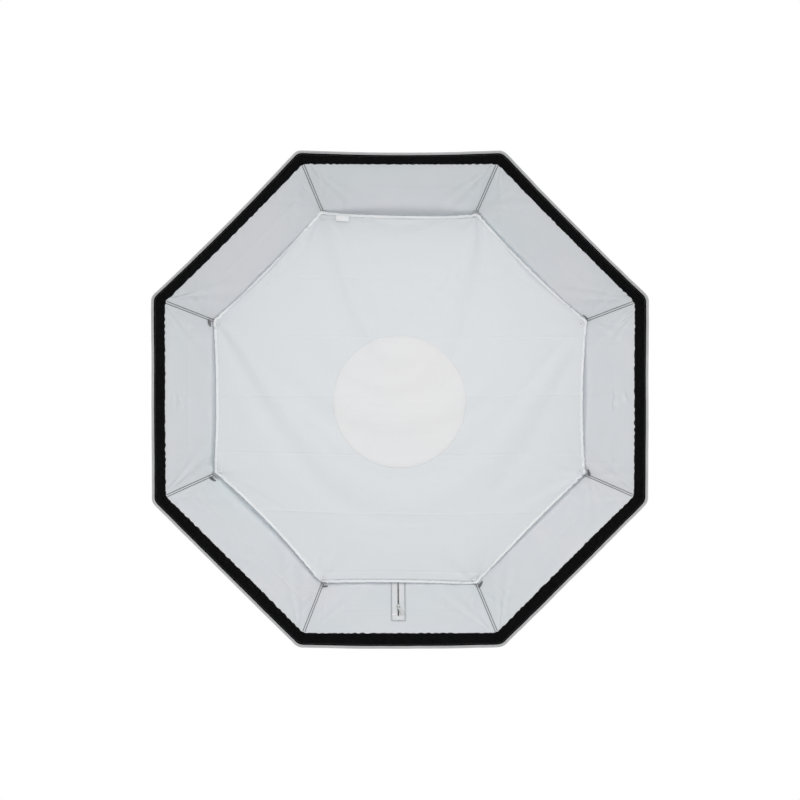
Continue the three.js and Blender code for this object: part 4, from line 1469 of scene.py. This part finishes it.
def build_screw(k):
    """A socket-head screw: a domed head with a hexagonal recess."""
    low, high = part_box(f"retainer_screw_{k + 1}")
    x, z = (low[0] + high[0]) / 2, (low[2] + high[2]) / 2
    count = 48
    angle = turns(count)
    hexagon = math.cos(math.pi / 6) / np.cos((angle % (math.pi / 3)) - math.pi / 6)
    head_low, head_high = low[1], low[1] + 0.0022
    rings = [(0.0, head_low + 0.0013, 1.0), (0.0017, head_low + 0.0013, hexagon),
             (0.0017, head_low + 0.0001, hexagon), (0.0018, head_low, hexagon), (0.0026, head_low, 1.0),
             (0.0031, head_low + 0.0004, 1.0), (0.0032, head_low + 0.0008, 1.0), (0.0032, head_high, 1.0),
             (0.0015, head_high, 1.0), (0.0015, high[1], 1.0), (0.0, high[1], 1.0)]
    points = []
    for radius, y, shape in rings:
        r = np.maximum(radius, 1e-5) * shape
        points.append(np.stack([x + r * np.sin(angle), np.full(count, y), z + r * np.cos(angle)], axis=-1))
    faces = [face[::-1] for face in grid_faces(len(rings), count, wrap_columns=True)]
    screw = add_mesh(f"socket_screw_{k + 1}", np.concatenate(points), faces, ZINC)
    finish_piece(screw, "insert", "zinc_hardware", f"retainer_screw_{k + 1}")


def build_lock():
    """The clamping screw: a seven-lobed grip with a dished cap on a plain shank, and its pad."""
    low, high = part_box("lock_knob")
    grip_start = high[0] - 0.018
    lobes, around = 7, 112
    angle = turns(around)
    lobed = 1 + 0.075 * np.cos(lobes * angle)
    stations = [(0.0, 0.0030, 0.0), (0.0, 0.0070, 0.0), (0.0002, 0.0082, 0.3), (0.0012, 0.0096, 0.8),
                (0.0030, 0.0106, 1.0), (0.0090, 0.0111, 1.0), (0.0150, 0.0109, 1.0), (0.0168, 0.0104, 1.0),
                (0.0177, 0.0095, 0.8), (0.0180, 0.0084, 0.4), (0.0178, 0.0078, 0.1), (0.0172, 0.0070, 0.0),
                (0.0170, 0.0050, 0.0), (0.0170, 0.0001, 0.0)]
    points = []
    for along, radius, share in stations:
        r = radius * (1 + (lobed - 1) * share)
        points.append(np.stack([np.full(around, grip_start + along), KNOB_Y + r * np.cos(angle),
                                r * np.sin(angle)], axis=-1))
    faces = grid_faces(len(stations), around, wrap_columns=True)
    shank = ring_section(0.0001, 0.0030, 0.0, grip_start + 0.004 - low[0], 0.0004, 2)
    parts = [(np.concatenate(points), faces), lathe(shank, (low[0], KNOB_Y, 0), ACROSS, 32)]
    finish_piece(join("lobed_knob", parts, KNOB), "lock_screw", "knob_plastic", "lock_knob")
    low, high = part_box("lock_pad")
    pad = ring_section(0.0001, 0.0029, 0.0, high[0] - low[0], 0.0005, 3)
    finish_piece(join("clamping_pad", [lathe(pad, (low[0], KNOB_Y, 0), ACROSS, 32)], PAD),
                 "lock_pad_slide", "nylon_pad", "lock_pad")


# ------------------------------------------------------------------ camera, light and floor
CAMERA_AT = (-0.03, RIM_Y - 3.2, 0.075)
CAMERA_LENS, CAMERA_SHIFT = 75.55, (-0.0004, -0.0005)


def build_camera():
    data = bpy.data.cameras.new("camera")
    data.lens, data.sensor_width = CAMERA_LENS, 36.0
    data.clip_end = 40.0
    data.shift_x, data.shift_y = CAMERA_SHIFT
    camera = bpy.data.objects.new("camera", data)
    camera.location = CAMERA_AT
    aim = mathutils.Vector((0.0, RIM_Y, 0.0)) - mathutils.Vector(CAMERA_AT)
    camera.rotation_euler = aim.to_track_quat("-Z", "Y").to_euler()
    bpy.context.scene.collection.objects.link(camera)
    bpy.context.scene.camera = camera


def area_light(name, place, target, size, power):
    data = bpy.data.lights.new(name, "AREA")
    data.shape, data.size, data.energy = "DISK", size, power
    light = bpy.data.objects.new(name, data)
    light.location = place
    aim = np.asarray(target, float) - np.asarray(place, float)
    light.rotation_euler = mathutils.Vector(aim).to_track_quat("-Z", "Y").to_euler()
    bpy.context.scene.collection.objects.link(light)
    return light


def build_studio():
    scene = bpy.context.scene
    scene.view_settings.view_transform = "Standard"
    world = bpy.data.worlds.new("studio")
    scene.world = world
    world.use_nodes = True
    world.node_tree.nodes["Background"].inputs["Color"].default_value = (1, 1, 1, 1)
    world.node_tree.nodes["Background"].inputs["Strength"].default_value = 1.0
    area_light("front_top", (0.0, -3.6, 2.6), (0, -0.2, -0.1), 1.8, 28)
    glow = area_light("glow_through_cloth", (0.0, BAFFLE_Y + 0.03, 0.0), (0, 0, 0), 0.6, 1.7)
    glow.visible_camera = glow.visible_glossy = False

    floor = Nodes("pale_floor", (0.85, 0.85, 0.85), 0.9)
    where = floor.coordinates(False)
    distance = floor.add("ShaderNodeVectorMath", {0: where}, operation="LENGTH")
    fade = floor.add("ShaderNodeMapRange", {"Value": distance.outputs["Value"]})
    for socket, value in (("From Min", 1.9), ("From Max", 0.9), ("To Min", 0.0), ("To Max", 1.0)):
        fade.inputs[socket].default_value = value
    floor.link(fade.outputs["Result"], "Alpha")
    radii = np.linspace(0.02, 1.9, 12)
    points = radii[:, None, None] * np.stack([np.cos(turns(64)), np.sin(turns(64)), np.zeros(64)], axis=-1)
    disc = grid("floor", points, floor.material, wrap_columns=True)
    disc.location = (0, -0.2, -1.35)


build_camera()
build_studio()
build_panels()
rib_stitching()
build_sleeves()
build_rods()
build_pockets()
build_rim()
build_rear_hem()
build_diffuser()
build_label()
build_straps()
build_zip()
build_speed_ring()
build_insert()
build_lock()
